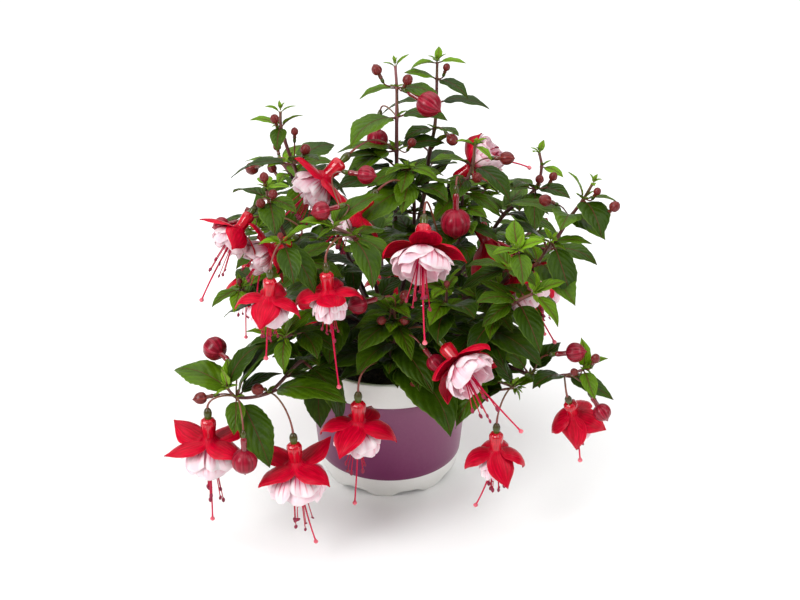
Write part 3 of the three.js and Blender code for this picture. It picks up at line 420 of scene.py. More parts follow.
# Vectors and curves

def vec(*numbers):
    return np.array(numbers, float)


def unit(v):
    v = np.asarray(v, float)
    return v / np.maximum(np.linalg.norm(v, axis=-1, keepdims=True), 1e-9)


def dice(name):
    """Random numbers of a piece's own, the same in each run."""
    return np.random.default_rng(zlib.crc32(name.encode()))


def ease(x):
    """0 to 1, flat at both ends."""
    x = np.clip(x, 0, 1)
    return x * x * (3 - 2 * x)


def running(steps):
    """How far along each of the points is that lie these steps apart."""
    return np.concatenate([[0], np.cumsum(steps)])


def turns(sides):
    """The bearings of points spread evenly round a ring."""
    return np.arange(sides) * 2 * math.pi / sides


def polar(radius, bearing, height):
    """A point from its radius and bearing about the vertical axis, and its height."""
    return vec(radius * math.cos(bearing), radius * math.sin(bearing), height)


def stacked(x, y, z):
    """A grid of vectors from three grids of numbers."""
    return np.stack(np.broadcast_arrays(x, y, z), axis=-1)


def spline(points, steps):
    """A smooth curve through the points, with that many steps between two of them."""
    p = np.asarray(points, float)
    p = np.vstack([2 * p[0] - p[1], p, 2 * p[-1] - p[-2]])
    knots = running(np.sqrt(np.linalg.norm(np.diff(p, axis=0), axis=1)))
    pieces = []
    for i in range(1, len(p) - 2):
        t = np.linspace(knots[i], knots[i + 1], steps, endpoint=False)[:, None]

        def between(a, b, start, end):
            return ((end - t) * a + (t - start) * b) / (end - start)

        first = between(p[i - 1], p[i], knots[i - 1], knots[i])
        middle = between(p[i], p[i + 1], knots[i], knots[i + 1])
        last = between(p[i + 1], p[i + 2], knots[i + 1], knots[i + 2])
        pieces.append(between(between(first, middle, knots[i - 1], knots[i + 1]),
                              between(middle, last, knots[i], knots[i + 2]), knots[i], knots[i + 1]))
    return np.vstack([*pieces, p[-2:-1]])


def bezier(a, b, c, d, steps):
    """A curve from a to d that leaves towards b and arrives from c."""
    s = np.linspace(0, 1, steps + 1)[:, None]
    return (1 - s) ** 3 * a + 3 * (1 - s) ** 2 * s * b + 3 * (1 - s) * s ** 2 * c + s ** 3 * d


def sideways(direction):
    """Two directions square to a given one."""
    reference = vec(0, 1, 0) if abs(direction[2]) > 0.9 else UP
    across = unit(np.cross(reference, direction))
    return across, np.cross(direction, across)


def grid_faces(index, closed=False):
    """The four-cornered faces of a grid of vertex numbers, whose columns may close on themselves."""
    right = np.roll(index, -1, axis=1) if closed else index[:, 1:]
    left = index if closed else index[:, :-1]
    return np.stack([left[:-1], right[:-1], right[1:], left[1:]], axis=-1).reshape(-1, 4)


def placed(name, data):
    """A new object in the scene."""
    thing = bpy.data.objects.new(name, data)
    bpy.context.scene.collection.objects.link(thing)
    return thing


class Shape:
    """The mesh of one piece while it grows. place and tint are what its materials read at each vertex:
    place is how far along, how far across and how wide, tint is age, a random share and the side."""

    def __init__(self):
        self.points, self.faces, self.place, self.tint, self.kinds = [], [], [], [], []
        self.count = 0

    def add(self, points, faces, place, tint, kind):
        points = np.reshape(points, (-1, 3))
        for part in faces:
            part = np.asarray(part) + self.count
            self.faces.extend(part.tolist())
            self.kinds.extend([kind] * len(part))
        self.points.append(points)
        self.place.append(np.broadcast_to(place, points.shape))
        self.tint.append(np.broadcast_to(tint, points.shape))
        self.count += len(points)

    def tube(self, path, radii, sides, tint=(0, 0, 0), kind=0, across=None):
        """A closed body round a path. radii has one number a ring, or one a vertex."""
        path = np.asarray(path, float)
        rings = len(path)
        forward = unit(np.gradient(path, axis=0))
        side = sideways(forward[0])[0] if across is None else np.asarray(across, float)
        sides_of = []
        for direction in forward:
            side = unit(side - direction * side.dot(direction))
            sides_of.append(side)
        side = np.array(sides_of)[:, None, :]
        up = np.cross(forward[:, None, :], side)
        turn = turns(sides)
        radii = np.asarray(radii, float)
        radii = radii if radii.ndim == 2 else np.atleast_1d(radii)[:, None]
        radii = np.broadcast_to(radii, (rings, sides))
        ring = side * np.cos(turn)[None, :, None] + up * np.sin(turn)[None, :, None]
        body = path[:, None, :] + radii[..., None] * ring
        index = np.arange(rings * sides).reshape(rings, sides)
        first, last = rings * sides, rings * sides + 1
        near, far = index[0], index[-1]
        caps = [np.stack([np.full(sides, first), np.roll(near, -1), near], axis=1),
                np.stack([np.full(sides, last), far, np.roll(far, -1)], axis=1)]
        place = stacked(np.linspace(0, 1, rings)[:, None], turn, radii).reshape(-1, 3)
        place = np.vstack([place, [0, 0, 0], [1, 0, 0]])
        self.add(np.vstack([body.reshape(-1, 3), path[:1], path[-1:]]),
                 [grid_faces(index, closed=True), *caps], place, tint, kind)

    def sheet(self, grid, place, thickness, tint=(0, 0), kind=0):
        """A closed thin sheet over a grid of points. Both sides share the margin."""
        rows, columns = grid.shape[:2]
        normal = unit(np.cross(np.gradient(grid, axis=1), np.gradient(grid, axis=0)))
        lift = normal * thickness / 2
        lift[0] = lift[-1] = 0
        lift[:, 0] = lift[:, -1] = 0
        index = np.arange(rows * columns).reshape(rows, columns)
        under = index.copy()
        under[1:-1, 1:-1] = rows * columns + np.arange((rows - 2) * (columns - 2)).reshape(rows - 2, -1)
        side = np.full((rows, columns), 0.5)
        side[1:-1, 1:-1] = 0
        shade = stacked(*tint, side)
        lower = shade.copy()
        lower[..., 2] = 1

        def both(upper, beneath):
            return np.vstack([upper.reshape(-1, 3), beneath[1:-1, 1:-1].reshape(-1, 3)])

        self.add(both(grid + lift, grid - lift), [grid_faces(index), grid_faces(under)[:, ::-1]],
                 both(place, place), both(shade, lower), kind)

    def scale(self, centre, size):
        """Scales all that is there so far."""
        self.points = [centre + (points - centre) * size for points in self.points]

    def mesh(self, name):
        mesh = bpy.data.meshes.new(name)
        mesh.from_pydata((np.vstack(self.points) * MM).tolist(), [], self.faces)
        return mesh

    def build(self, name, materials, slot, *replaced):
        """Makes the piece, which rides on the plant's one body."""
        mesh = self.mesh(name)
        mesh.polygons.foreach_set("material_index", self.kinds)
        for label, values in (("place", self.place), ("tint", self.tint)):
            attribute = mesh.attributes.new(label, "FLOAT_VECTOR", "POINT")
            attribute.data.foreach_set("vector", np.vstack(values).astype(np.float32).ravel())
        mesh.shade_smooth()
        mesh.set_sharp_from_angle(angle=math.radians(60))
        for material in materials:
            mesh.materials.append(material)
        piece = placed(name, mesh)
        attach(piece, "root")
        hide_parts(*replaced)
        return piece


# Materials

class Value:
    """A socket of a graph, so that sums between sockets can be written out."""

    def __init__(self, graph, socket):
        self.graph, self.socket = graph, socket

    def __add__(self, other):
        return self.graph.math("ADD", self, other)

    def __sub__(self, other):
        return self.graph.math("SUBTRACT", self, other)

    def __rsub__(self, other):
        return self.graph.math("SUBTRACT", other, self)

    def __mul__(self, other):
        return self.graph.math("MULTIPLY", self, other)

    def __truediv__(self, other):
        return self.graph.math("DIVIDE", self, other)

    def __pow__(self, other):
        return self.graph.math("POWER", self, other)

    def __abs__(self):
        return self.graph.math("ABSOLUTE", self)


class Graph:
    """A node tree being wired up, what owns it, and the node that it ends in."""

    def __init__(self, tree, owner, end):
        self.tree, self.owner, self.end = tree, owner, end

    def feed(self, socket, value):
        """Links a Value to an input, or sets the input to a constant."""
        if isinstance(value, Value):
            self.tree.links.new(value.socket, socket)
        else:
            socket.default_value = value

    def give(self, **values):
        """Feeds the last node, whose inputs are named with _ for a space, and returns the owner."""
        for key, value in values.items():
            self.feed(self.end.inputs[key.replace("_", " ")], value)
        return self.owner

    def add(self, kind, inputs, **settings):
        node = self.tree.nodes.new(kind)
        for key, value in settings.items():
            setattr(node, key, value)
        for key, value in inputs.items():
            self.feed(node.inputs[key], value)
        return node

    def value(self, output, kind, inputs, **settings):
        """One output of a new node."""
        return Value(self, self.add(kind, inputs, **settings).outputs[output])

    def named(self, node):
        """All outputs of a node, by name."""
        return {socket.name: Value(self, socket) for socket in node.outputs}

    def math(self, operation, *values):
        return self.value(0, "ShaderNodeMath", dict(enumerate(values)), operation=operation)

    def mix(self, share, a, b):
        """Two colours mixed. A constant one is red, green and blue, 0 to 255."""
        a, b = (shade if isinstance(shade, Value) else colour(*shade) for shade in (a, b))
        return self.value(2, "ShaderNodeMix", {0: share, 6: a, 7: b}, data_type="RGBA")

    def ramp(self, value, low, high):
        """value taken from low..high to 0..1."""
        return self.value(0, "ShaderNodeMapRange", {0: value, 1: low, 2: high},
                          interpolation_type="SMOOTHSTEP")

    def attribute(self, name):
        return self.value("Vector", "ShaderNodeAttribute", {}, attribute_name=name)

    def split(self, vector):
        return self.named(self.add("ShaderNodeSeparateXYZ", {0: vector})).values()

    def read(self, name):
        """The three numbers of an attribute."""
        return self.split(self.attribute(name))

    def joined(self, x, y, z):
        return self.value(0, "ShaderNodeCombineXYZ", {0: x, 1: y, 2: z})

    def where(self):
        """The object's own coordinates."""
        return self.value("Object", "ShaderNodeTexCoord", {})

    def noise(self, vector, scale, detail=2.0, roughness=0.5):
        return self.value("Fac", "ShaderNodeTexNoise", {"Vector": vector, "Scale": scale,
                                                        "Detail": detail, "Roughness": roughness})

    def bump(self, height, strength, distance):
        """A normal from a height. distance is in metres."""
        return self.value("Normal", "ShaderNodeBump", {"Height": height, "Strength": strength,
                                                       "Distance": distance})

    def group(self, name, **inputs):
        """What a node group makes of these inputs."""
        return self.named(self.add("ShaderNodeGroup", inputs, node_tree=GROUPS[name]))

    def mottled(self, coarse, fine, strength):
        return self.group("mottle", Coarse=coarse, Fine=fine, Strength=strength)["Value"]


def new_group(name, inputs, outputs):
    """The graph of a node group and what it is given. Place is a vector, all else are numbers."""
    group = bpy.data.node_groups.new(name, "ShaderNodeTree")
    for direction, labels in (("INPUT", inputs), ("OUTPUT", outputs)):
        for label in labels:
            kind = "NodeSocketVector" if label == "Place" else "NodeSocketFloat"
            group.interface.new_socket(label, in_out=direction, socket_type=kind)
    graph = Graph(group, group, group.nodes.new("NodeGroupOutput"))
    return graph, graph.named(group.nodes.new("NodeGroupInput"))


def new_material(name):
    material = bpy.data.materials.new(name)
    material.use_nodes = True
    tree = material.node_tree
    return Graph(tree, material, tree.nodes["Principled BSDF"])


def colour(red, green, blue):
    """A colour given as it looks on a screen, 0 to 255, for a shader that works in light."""
    def light(value):
        share = value / 255
        return share / 12.92 if share <= 0.04045 else ((share + 0.055) / 1.055) ** 2.4
    return (light(red), light(green), light(blue), 1.0)


def make_mottle():
    """Soft blotches and fine grain as a value round 0, from the object's own coordinates."""
    g, given = new_group("mottle", ["Coarse", "Fine", "Strength"], ["Value"])
    where = g.where()
    both = g.noise(where, given["Coarse"]) * 0.65 + g.noise(where, given["Fine"]) * 0.35
    return g.give(Value=(both - 0.5) * given["Strength"])


def make_veins():
    """Masks of a blade's midrib, its side veins and its margin, and how high the blade bulges."""
    g, given = new_group("blade_veins", ["Place", "Pairs", "Slant"],
                         ["Midrib", "Veins", "Margin", "Height"])
    along, across, half = g.split(given["Place"])
    off = abs(across)
    rib_width = 0.55 - along * 0.35
    midrib = 1.0 - g.ramp(off * half / rib_width, 0.45, 1.1)
    bowed = off ** 2.2 * 0.16
    lean = off * given["Slant"] + bowed
    wander = (g.noise(given["Place"], 2.3) - 0.5) * 0.05
    phase = (along - lean + wander) * given["Pairs"]
    shifted = phase + g.math("SIGN", across) * 0.12
    saw = abs(g.math("FRACT", shifted + 20.0) - 0.5)
    veins = g.ramp(saw, 0.43, 0.5) * (1.0 - g.ramp(off, 0.72, 1.0))
    bulge = 1.0 - g.ramp(saw, 0.05, 0.5)
    cells = g.noise(g.joined(along * 60.0, across * 26.0, half), 1.0)
    height = bulge * 0.75 + cells * 0.25 - midrib * 0.6
    return g.give(Midrib=midrib, Veins=veins, Margin=g.ramp(off, 0.9, 1.0), Height=height)


def make_streaks():
    """Fine lines that run along a petal or a sepal, from 0 to 1, and its margin."""
    g, given = new_group("streaks", ["Place", "Seed", "Count", "Stretch"],
                         ["Lines", "Broad", "Rays", "Margin"])
    along, across, _ = g.split(given["Place"])
    aside = across * given["Count"]
    length = along * given["Stretch"]
    seed = given["Seed"] * 40.0
    fine = g.noise(g.joined(aside, length, seed), 1.0, 3.0, 0.6)
    broad = g.noise(g.joined(aside * 0.28, length, seed), 1.0, 1.0)
    wander = (broad - 0.5) * 1.2
    course = aside * 0.5 + wander + 20.5
    saw = abs(g.math("FRACT", course) - 0.5)
    ray = 1.0 - g.ramp(saw, 0.04, 0.26)
    return g.give(Lines=fine, Broad=broad, Rays=ray * g.ramp(fine, 0.25, 0.55),
                  Margin=g.ramp(abs(across), 0.86, 1.0))


GROUPS = {"mottle": make_mottle(), "veins": make_veins(), "streaks": make_streaks()}


def leaf_material():
    """Waxy green, darker along the midrib and in the sunken veins, paler and greyer underneath."""
    g = new_material("leaf")
    place = g.attribute("place")
    _, across, _ = g.split(place)
    age, chance, side = g.read("tint")
    veins = g.group("veins", Place=place, Pairs=LEAF_PAIRS, Slant=VEIN_SLANT)
    swing = g.mottled(45.0, 420.0, 0.6)
    young = age + chance * 0.42 + swing
    top = g.mix(g.ramp(young, 0.0, 1.0), (38, 60, 3), (108, 148, 16))
    middle = 1.0 - g.ramp(abs(across), 0.0, 0.7)
    top = g.mix(middle * 0.3, top, (34, 50, 6))
    top = g.mix(veins["Veins"] * 0.35, top, (24, 44, 4))
    rib = g.mix(g.ramp(age, 0.5, 1.0), (88, 38, 30), (128, 142, 50))
    top = g.mix(veins["Midrib"] * 0.8, top, rib)
    below = g.mix(g.ramp(young, 0.0, 1.0), (88, 116, 42), (124, 156, 46))
    below = g.mix(veins["Veins"] * 0.4, below, (138, 154, 86))
    edge = g.mix(0.6, top, (132, 158, 66))
    faced = g.mix(g.ramp(side, 0.6, 0.95), top, below)
    final = g.mix(veins["Margin"] * 0.45, faced, edge)
    roughness = (side + swing) * 0.14 + 0.33
    return g.give(Base_Color=final, Roughness=roughness, Specular_IOR_Level=0.12,
                  Normal=g.bump(veins["Height"], 0.5, 0.0008))


def petiole_material():
    """Reddish brown, and greener on the young leaves."""
    g = new_material("petiole")
    along, _, _ = g.read("place")
    age, _, _ = g.read("tint")
    old = g.mix(g.ramp(along, 0.1, 0.9), (112, 52, 44), (128, 92, 68))
    tone = g.mix(g.ramp(age, 0.3, 0.95), old, (120, 134, 66))
    swing = g.mottled(120.0, 900.0, 0.5)
    final = g.mix(swing + 0.2, tone, (74, 30, 30))
    return g.give(Base_Color=final, Roughness=0.42, Normal=g.bump(swing, 0.3, 0.0004))


def stem_material():
    """Reddish brown below, mauve pink and green towards the tip, with fine long ridges."""
    g = new_material("stem_skin")
    along, turn, _ = g.read("place")
    age, chance, _ = g.read("tint")
    ridges = g.noise(g.joined(turn * 3.0, along * 8.0, age), 1.0, 3.0)
    blotch = g.noise(g.where(), 90.0, 3.0)
    wood = g.mix(g.ramp(blotch, 0.35, 0.7), (58, 24, 24), (98, 50, 48))
    skin = g.mix(chance, (98, 42, 46), (150, 92, 98))
    green = g.ramp(blotch, 0.4, 0.7) * (0.8 - chance * 0.7)
    young = g.mix(green, skin, (118, 104, 60))
    tone = g.mix(g.ramp(along + ridges * 0.3, 0.25, 0.95), wood, young)
    final = g.mix(g.ramp(ridges, 0.5, 0.75) * 0.35, tone, (150, 120, 104))
    return g.give(Base_Color=final, Roughness=0.45, Normal=g.bump(ridges, 0.5, 0.0005))


def sepal_material():
    """Waxy crimson, with fine streaks and a darker inside, and painted highlights on broad patches and
    along the thin edges.
    """
    g = new_material("sepal")
    place = g.attribute("place")
    along, across, half = g.split(place)
    _, chance, side = g.read("tint")
    lines = g.group("streaks", Place=place, Seed=chance, Count=9.0, Stretch=2.6)
    outside = g.mix(g.ramp(lines["Lines"], 0.3, 0.75), (160, 0, 26), (206, 2, 46))
    # Lighter broad patches: a painted highlight.
    outside = g.mix(g.ramp(lines["Broad"], 0.45, 0.75) * 0.3, outside, (220, 14, 48))
    inside = g.mix(g.ramp(lines["Lines"], 0.3, 0.75), (138, 0, 24), (186, 2, 44))
    tone = g.mix(g.ramp(side, 0.6, 0.95), outside, inside)
    tone = g.mix(lines["Rays"] * 0.3, tone, (118, 0, 20))
    # The lighter thin margin: a painted highlight along the edges.
    final = g.mix(lines["Margin"] * 0.35, tone, (226, 36, 62))
    crepe = g.noise(g.joined(across * 26.0, along * 40.0, half), 1.0, 3.0)
    height = lines["Lines"] * 0.7 + crepe * 0.3
    return g.give(Base_Color=final, Roughness=0.34, Specular_IOR_Level=0.1, Subsurface_Weight=0.08,
                  Subsurface_Radius=(1.0, 0.1, 0.1), Subsurface_Scale=0.001,
                  Normal=g.bump(height, 0.45, 0.0006))


def tube_material():
    """The flower's tube: glossy crimson with faint long streaks."""
    g = new_material("flower_tube")
    along, turn, radius = g.read("place")
    streak = g.noise(g.joined(turn * 4.0, along * 2.0, radius), 1.0, 2.0)
    tone = g.mix(g.ramp(streak, 0.35, 0.7), (160, 0, 22), (206, 8, 40))
    final = g.mix(g.ramp(along, 0.75, 1.0) * 0.3, tone, (214, 28, 54))
    return g.give(Base_Color=final, Roughness=0.22, Specular_IOR_Level=0.3, Coat_Weight=0.45,
                  Coat_Roughness=0.07, Normal=g.bump(streak, 0.2, 0.0004))


def petal_material():
    """Pale pink with whiter rims, magenta at the foot, magenta veins that fade outwards, and painted
    shade that makes the inner tiers pinker.
    """
    g = new_material("petal")
    place = g.attribute("place")
    along, across, half = g.split(place)
    inner, chance, _ = g.read("tint")
    lines = g.group("streaks", Place=place, Seed=chance, Count=6.0, Stretch=1.2)
    reach = chance * 0.3 + 0.78
    faded = 1.0 - g.ramp(along, reach * 0.45, reach)
    veins = g.ramp(lines["Rays"], 0.05, 0.7) * faded
    faint = g.ramp(lines["Lines"], 0.5, 0.8) * 0.3
    blush = g.mix(g.ramp(lines["Broad"], 0.3, 0.75), (255, 234, 238), (248, 198, 210))
    body = g.mix(g.ramp(along, 0.3, 0.8), (240, 150, 178), blush)
    body = g.mix(faint, body, (232, 136, 168))
    # Inner tiers are mixed pinker: painted shade inside the skirt.
    body = g.mix(inner * 0.5, body, (240, 168, 190))
    foot = 1.0 - g.ramp(along, 0.36, 0.8)
    tone = g.mix(g.math("MAXIMUM", veins, foot * 0.55), body, (214, 14, 84))
    rim = g.math("MAXIMUM", lines["Margin"], g.ramp(along, 0.9, 1.0))
    final = g.mix(rim * 0.6, tone, (255, 240, 243))
    crepe = g.noise(g.joined(across * 18.0, along * 22.0, half), 1.0, 3.0)
    height = lines["Lines"] * 0.6 + crepe * 0.4
    return g.give(Base_Color=final, Roughness=0.5, Specular_IOR_Level=0.15, Subsurface_Weight=0.5,
                  Subsurface_Radius=(1.0, 0.7, 0.75), Subsurface_Scale=0.003,
                  Normal=g.bump(height, 0.5, 0.0006))


def ovary_material():
    """Glossy olive green, browner at the stalk."""
    g = new_material("ovary")
    along, _, _ = g.read("place")
    swing = g.mottled(160.0, 1200.0, 0.8)
    tone = g.mix(g.ramp(along, 0.1, 0.8), (64, 48, 20), (70, 86, 18))
    final = g.mix(swing + 0.25, tone, (46, 54, 18))
    return g.give(Base_Color=final, Roughness=0.2, Specular_IOR_Level=0.2, Coat_Weight=0.4,
                  Coat_Roughness=0.08, Normal=g.bump(swing, 0.1, 0.0003))


def stalk_material():
    """The thin stalks of flowers and buds: brown-red, greener at the end they hang from."""
    g = new_material("flower_stalk")
    along, _, _ = g.read("place")
    swing = g.mottled(140.0, 1100.0, 0.9)
    tone = g.mix(g.ramp(along, 0.0, 1.0), (122, 96, 56), (126, 58, 50))
    final = g.mix(swing + 0.2, tone, (84, 36, 34))
    return g.give(Base_Color=final, Roughness=0.4, Normal=g.bump(swing, 0.2, 0.0003))


def bud_tube_material():
    """The short tube behind a bud: glossy dark red, and browner on the small buds."""
    g = new_material("bud_tube")
    _, small, _ = g.read("tint")
    swing = g.mottled(180.0, 1200.0, 0.8)
    tone = g.mix(small, (128, 4, 24), (100, 44, 32))
    final = g.mix(swing + 0.25, tone, g.mix(small, (88, 2, 16), (70, 42, 22)))
    return g.give(Base_Color=final, Roughness=0.2, Coat_Weight=0.5, Coat_Roughness=0.08,
                  Normal=g.bump(swing, 0.15, 0.0003))


def bud_material(name, skin, light, pale, seam):
    """A closed bud: eight ribs with thin dark seams between them and fine pale lines along them."""
    g = new_material(name)
    along, turn, _ = g.read("place")
    rib = abs(g.math("SINE", turn * 4.0))
    gap = 1.0 - g.ramp(rib, 0.0, 0.2)
    lines = g.noise(g.joined(turn * 7.0, along * 1.2, 0.5), 1.0, 3.0)
    thin = g.noise(g.joined(turn * 15.0, along * 1.0, 3.5), 1.0, 1.0)
    tone = g.mix(g.ramp(lines, 0.35, 0.7), skin, light)
    tone = g.mix(g.ramp(thin, 0.56, 0.68) * 0.4, tone, pale)
    final = g.mix(gap * 0.6, tone, seam)
    height = lines * 0.5 + rib * 0.5
    return g.give(Base_Color=final, Roughness=0.34, Specular_IOR_Level=0.2, Coat_Weight=0.15,
                  Coat_Roughness=0.2, Normal=g.bump(height, 0.4, 0.0004))


def thread_material(name, foot, tip, roughness):
    """A filament or a pistil, whose colour changes along it."""
    g = new_material(name)
    along, _, _ = g.read("place")
    swing = g.mottled(200.0, 1500.0, 0.6)
    final = g.mix(g.ramp(along, 0.2, 0.95) + swing, foot, tip)
    return g.give(Base_Color=final, Roughness=roughness, Specular_IOR_Level=0.15,
                  Normal=g.bump(swing, 0.15, 0.0002))


def grainy_material(name, dark, light, steep, roughness, depth, *grain):
    """Dark and light grains. steep is where the ramp between them ends, and depth is the bump's, which
    is as strong as the grains are rough."""
    g = new_material(name)
    grains = g.noise(g.where(), *grain)
    final = g.mix(g.ramp(grains, 0.35, steep), dark, light)
    return g.give(Base_Color=final, Roughness=roughness, Normal=g.bump(grains, roughness, depth))


def pot_material():
    """White moulded plastic with a fine satin grain, and greyish blotches that darken it towards the
    ground.
    """
    g = new_material("pot_outside")
    where = g.where()
    _, _, z = g.split(where)
    # Greyish blotches that fade out over the lowest 30 mm: darker towards the bottom.
    dust = g.noise(where, 60.0, 4.0) * (1.0 - g.ramp(z, 0.0, 0.03))
    swing = g.mottled(25.0, 700.0, 1.0)
    tone = g.mix(swing + 0.5, (226, 225, 221), (238, 238, 235))
    final = g.mix(dust * 0.35, tone, (186, 180, 170))
    grain = g.noise(where, 3200.0, 2.0)
    return g.give(Base_Color=final, Roughness=swing * 0.12 + 0.36, Subsurface_Weight=0.05,
                  Subsurface_Radius=(1.0, 1.0, 1.0), Subsurface_Scale=0.002,
                  Normal=g.bump(grain, 0.12, 0.0001))


def pot_inside_material():
    """Nearly black plastic with peat dust on it."""
    g = new_material("pot_inside")
    swing = g.mottled(60.0, 800.0, 1.0)
    final = g.mix(swing + 0.4, (24, 24, 25), (46, 43, 41))
    grain = g.noise(g.where(), 2600.0)
    return g.give(Base_Color=final, Roughness=0.5, Normal=g.bump(grain, 0.15, 0.0001))


def label_material():
    """The printed film: plum, greyer and lighter towards the upper right, with nothing on it."""
    g = new_material("label_film")
    where = g.where()
    x, _, z = g.split(where)
    rise = z * 9.0 + x * 6.0
    swing = g.mottled(14.0, 500.0, 0.35)
    share = g.ramp(rise + swing, 0.15, 0.95)
    final = g.mix(share, (106, 26, 78), (134, 74, 108))
    ripple = g.noise(where, 55.0, 2.0)
    return g.give(Base_Color=final, Roughness=0.34, Specular_IOR_Level=0.3, Coat_Weight=0.15,
                  Coat_Roughness=0.2, Normal=g.bump(ripple, 0.05, 0.0004))


def soil_material():
    """Damp peat: nearly black, with brown fibres and a few pale specks."""
    g = new_material("peat")
    where = g.where()
    clods = g.noise(where, 240.0, 5.0, 0.65)
    fibres = g.noise(where, 1400.0, 4.0, 0.7)
    tone = g.mix(g.ramp(clods, 0.35, 0.7), (20, 14, 10), (62, 44, 31))
    tone = g.mix(g.ramp(fibres, 0.6, 0.75) * 0.5, tone, (104, 76, 52))
    final = g.mix(g.ramp(g.noise(where, 620.0), 0.74, 0.8), tone, (160, 148, 128))
    height = clods + fibres * 0.4
    return g.give(Base_Color=final, Roughness=0.92, Normal=g.bump(height, 0.9, 0.0015))


LEAF = leaf_material()
PETIOLE = petiole_material()
STEM = stem_material()
SEPAL = sepal_material()
TUBE = tube_material()
PETAL = petal_material()
OVARY = ovary_material()
STALK = stalk_material()
BUD_TUBE = bud_tube_material()
SWOLLEN = bud_material("swollen_bud", (114, 0, 24), (150, 8, 40), (194, 84, 100), (68, 0, 12))
SMALL = bud_material("small_bud", (84, 18, 22), (120, 38, 36), (164, 88, 66), (60, 14, 16))
FILAMENT = thread_material("filament", (196, 8, 72), (172, 0, 48), 0.35)
PISTIL = thread_material("pistil", (176, 0, 50), (196, 14, 66), 0.32)
STIGMA = thread_material("stigma", (208, 88, 104), (230, 132, 140), 0.45)
ANTHER = grainy_material("anther", (100, 2, 36), (160, 6, 62), 0.7, 0.6, 0.0003, 2600.0, 3.0)
POT_OUTSIDE = pot_material()
POT_INSIDE = pot_inside_material()
LABEL = label_material()
PEAT = soil_material()
BARK = grainy_material("bark", (62, 42, 32), (124, 96, 76), 0.68, 0.8, 0.001, 320.0, 5.0, 0.65)


def weld(piece):
    """Joins the vertices that lie on each other and turns all faces outwards."""
    work = bmesh.new()
    work.from_mesh(piece.data)
    bmesh.ops.remove_doubles(work, verts=work.verts, dist=1e-6)
    bmesh.ops.recalc_face_normals(work, faces=work.faces)
    work.to_mesh(piece.data)
    work.free()


def apply_modifiers(piece):
    """Makes a piece's modifiers part of its mesh."""
    tree = bpy.context.evaluated_depsgraph_get()
    mesh = bpy.data.meshes.new_from_object(piece.evaluated_get(tree))
    piece.modifiers.clear()
    piece.data = mesh


# The pot, its label and its soil

def outer_radius(z):
    return np.interp(z, [h for h, _ in POT_OUTLINE], [r for _, r in POT_OUTLINE])


def turned(shape, profile, sides, kinds=None, lift=None, closed=False):
    """A body turned about the pot's axis. profile is a list of (radius, height), kinds the material of
    each stretch between two of its points, and lift gives the heights of a ring's points."""
    profile = np.asarray(profile, float)
    turn = turns(sides)
    radii, heights = profile[:, :1], profile[:, 1:]
    rings = stacked(radii * np.cos(turn), radii * np.sin(turn), heights)
    if lift:
        rings = lift(rings)
    index = np.arange(len(profile) * sides).reshape(len(profile), sides) + shape.count
    if closed:
        index = np.vstack([index, index[:1]])
    shape.add(rings, [], (0, 0, 0), (0, 0, 0), 0)
    for i in range(len(index) - 1):
        faces = grid_faces(index[i:i + 2], closed=True)
        shape.faces.extend(faces.tolist())
        shape.kinds.extend([kinds[i] if kinds else 0] * len(faces))


def arched(rings):
    """The foot ring is raised between the feet, so that water drains out under it."""
    flat, slope = 0.12, 0.26
    degrees = np.degrees(np.arctan2(rings[..., 1], rings[..., 0]))
    share = ((degrees - FOOT_CENTRE) * FEET / 360 + 0.5) % 1 - 0.5
    arch = FOOT_ARCH * ease((np.abs(share) - flat) / slope)
    z = rings[..., 2]
    rings[..., 2] = z + arch * np.clip(1 - z / (2 * FOOT_ARCH), 0, 1) * (z < FLOOR_UNDERSIDE - 0.1)
    return rings


def pot():
    """One shell: thin wall, thicker rim, a recess under the label, arched foot ring and drain holes."""
    shape = Shape()
    under_label = 0.3
    step = 0.15
    rim_from, rim_flare = 90, 0.9
    bevel = 0.5
    wall_top = outer_radius(BAND_TOP) - WALL
    floor_radius = outer_radius(FLOOR_TOP) - WALL
    inside = [(0, FLOOR_TOP), (floor_radius, FLOOR_TOP), (wall_top, BAND_TOP),
              (wall_top + rim_flare, rim_from)]
    half = RIM_WALL / 2
    middle = POT_OUTLINE[-1][1] - half
    rim = [(middle + half * math.sin(a), POT_HEIGHT - half + half * math.cos(a))
           for a in np.linspace(-math.pi / 2, math.pi / 2, 9)]
    outside = [(outer_radius(z), z) for z in (96, 88, BAND_TOP + step)]
    outside += [(outer_radius(z) - under_label, z) for z in (BAND_TOP, BAND_BOTTOM)]
    outside += [(outer_radius(z), z) for z in (BAND_BOTTOM - step, 11, 6, 3, 1.2)]
    foot = POT_OUTLINE[0][1]
    below = [(foot - bevel, 0), (foot - FOOT_RING + bevel, 0), (foot - FOOT_RING, 2 * bevel),
             (foot - FOOT_RING, FLOOR_UNDERSIDE), (0, FLOOR_UNDERSIDE)]
    profile = inside + rim + outside + below
    dark = len(inside) + 2
    kinds = [1 if i < dark else 0 for i in range(len(profile) - 1)]
    turned(shape, profile, POT_SIDES, kinds, arched)
    piece = shape.build("pot_shell", [POT_OUTSIDE, POT_INSIDE], "pot_plastic", "pot")
    weld(piece)
    drill = drain_drill()
    cut = piece.modifiers.new("drain holes", "BOOLEAN")
    cut.object = drill
    cut.solver = "EXACT"
    apply_modifiers(piece)
    bpy.data.objects.remove(drill)
    piece.data.set_sharp_from_angle(angle=math.radians(40))


def drain_drill():
    """Eight upright rods where the drain holes are."""
    shape = Shape()
    past = 3
    for turn in turns(FEET):
        ends = [polar(DRAIN_CIRCLE, turn, z) for z in (FLOOR_UNDERSIDE - past, FLOOR_TOP + past)]
        shape.tube(ends, DRAIN_RADIUS, 32)
    return placed("drill", shape.mesh("drill"))


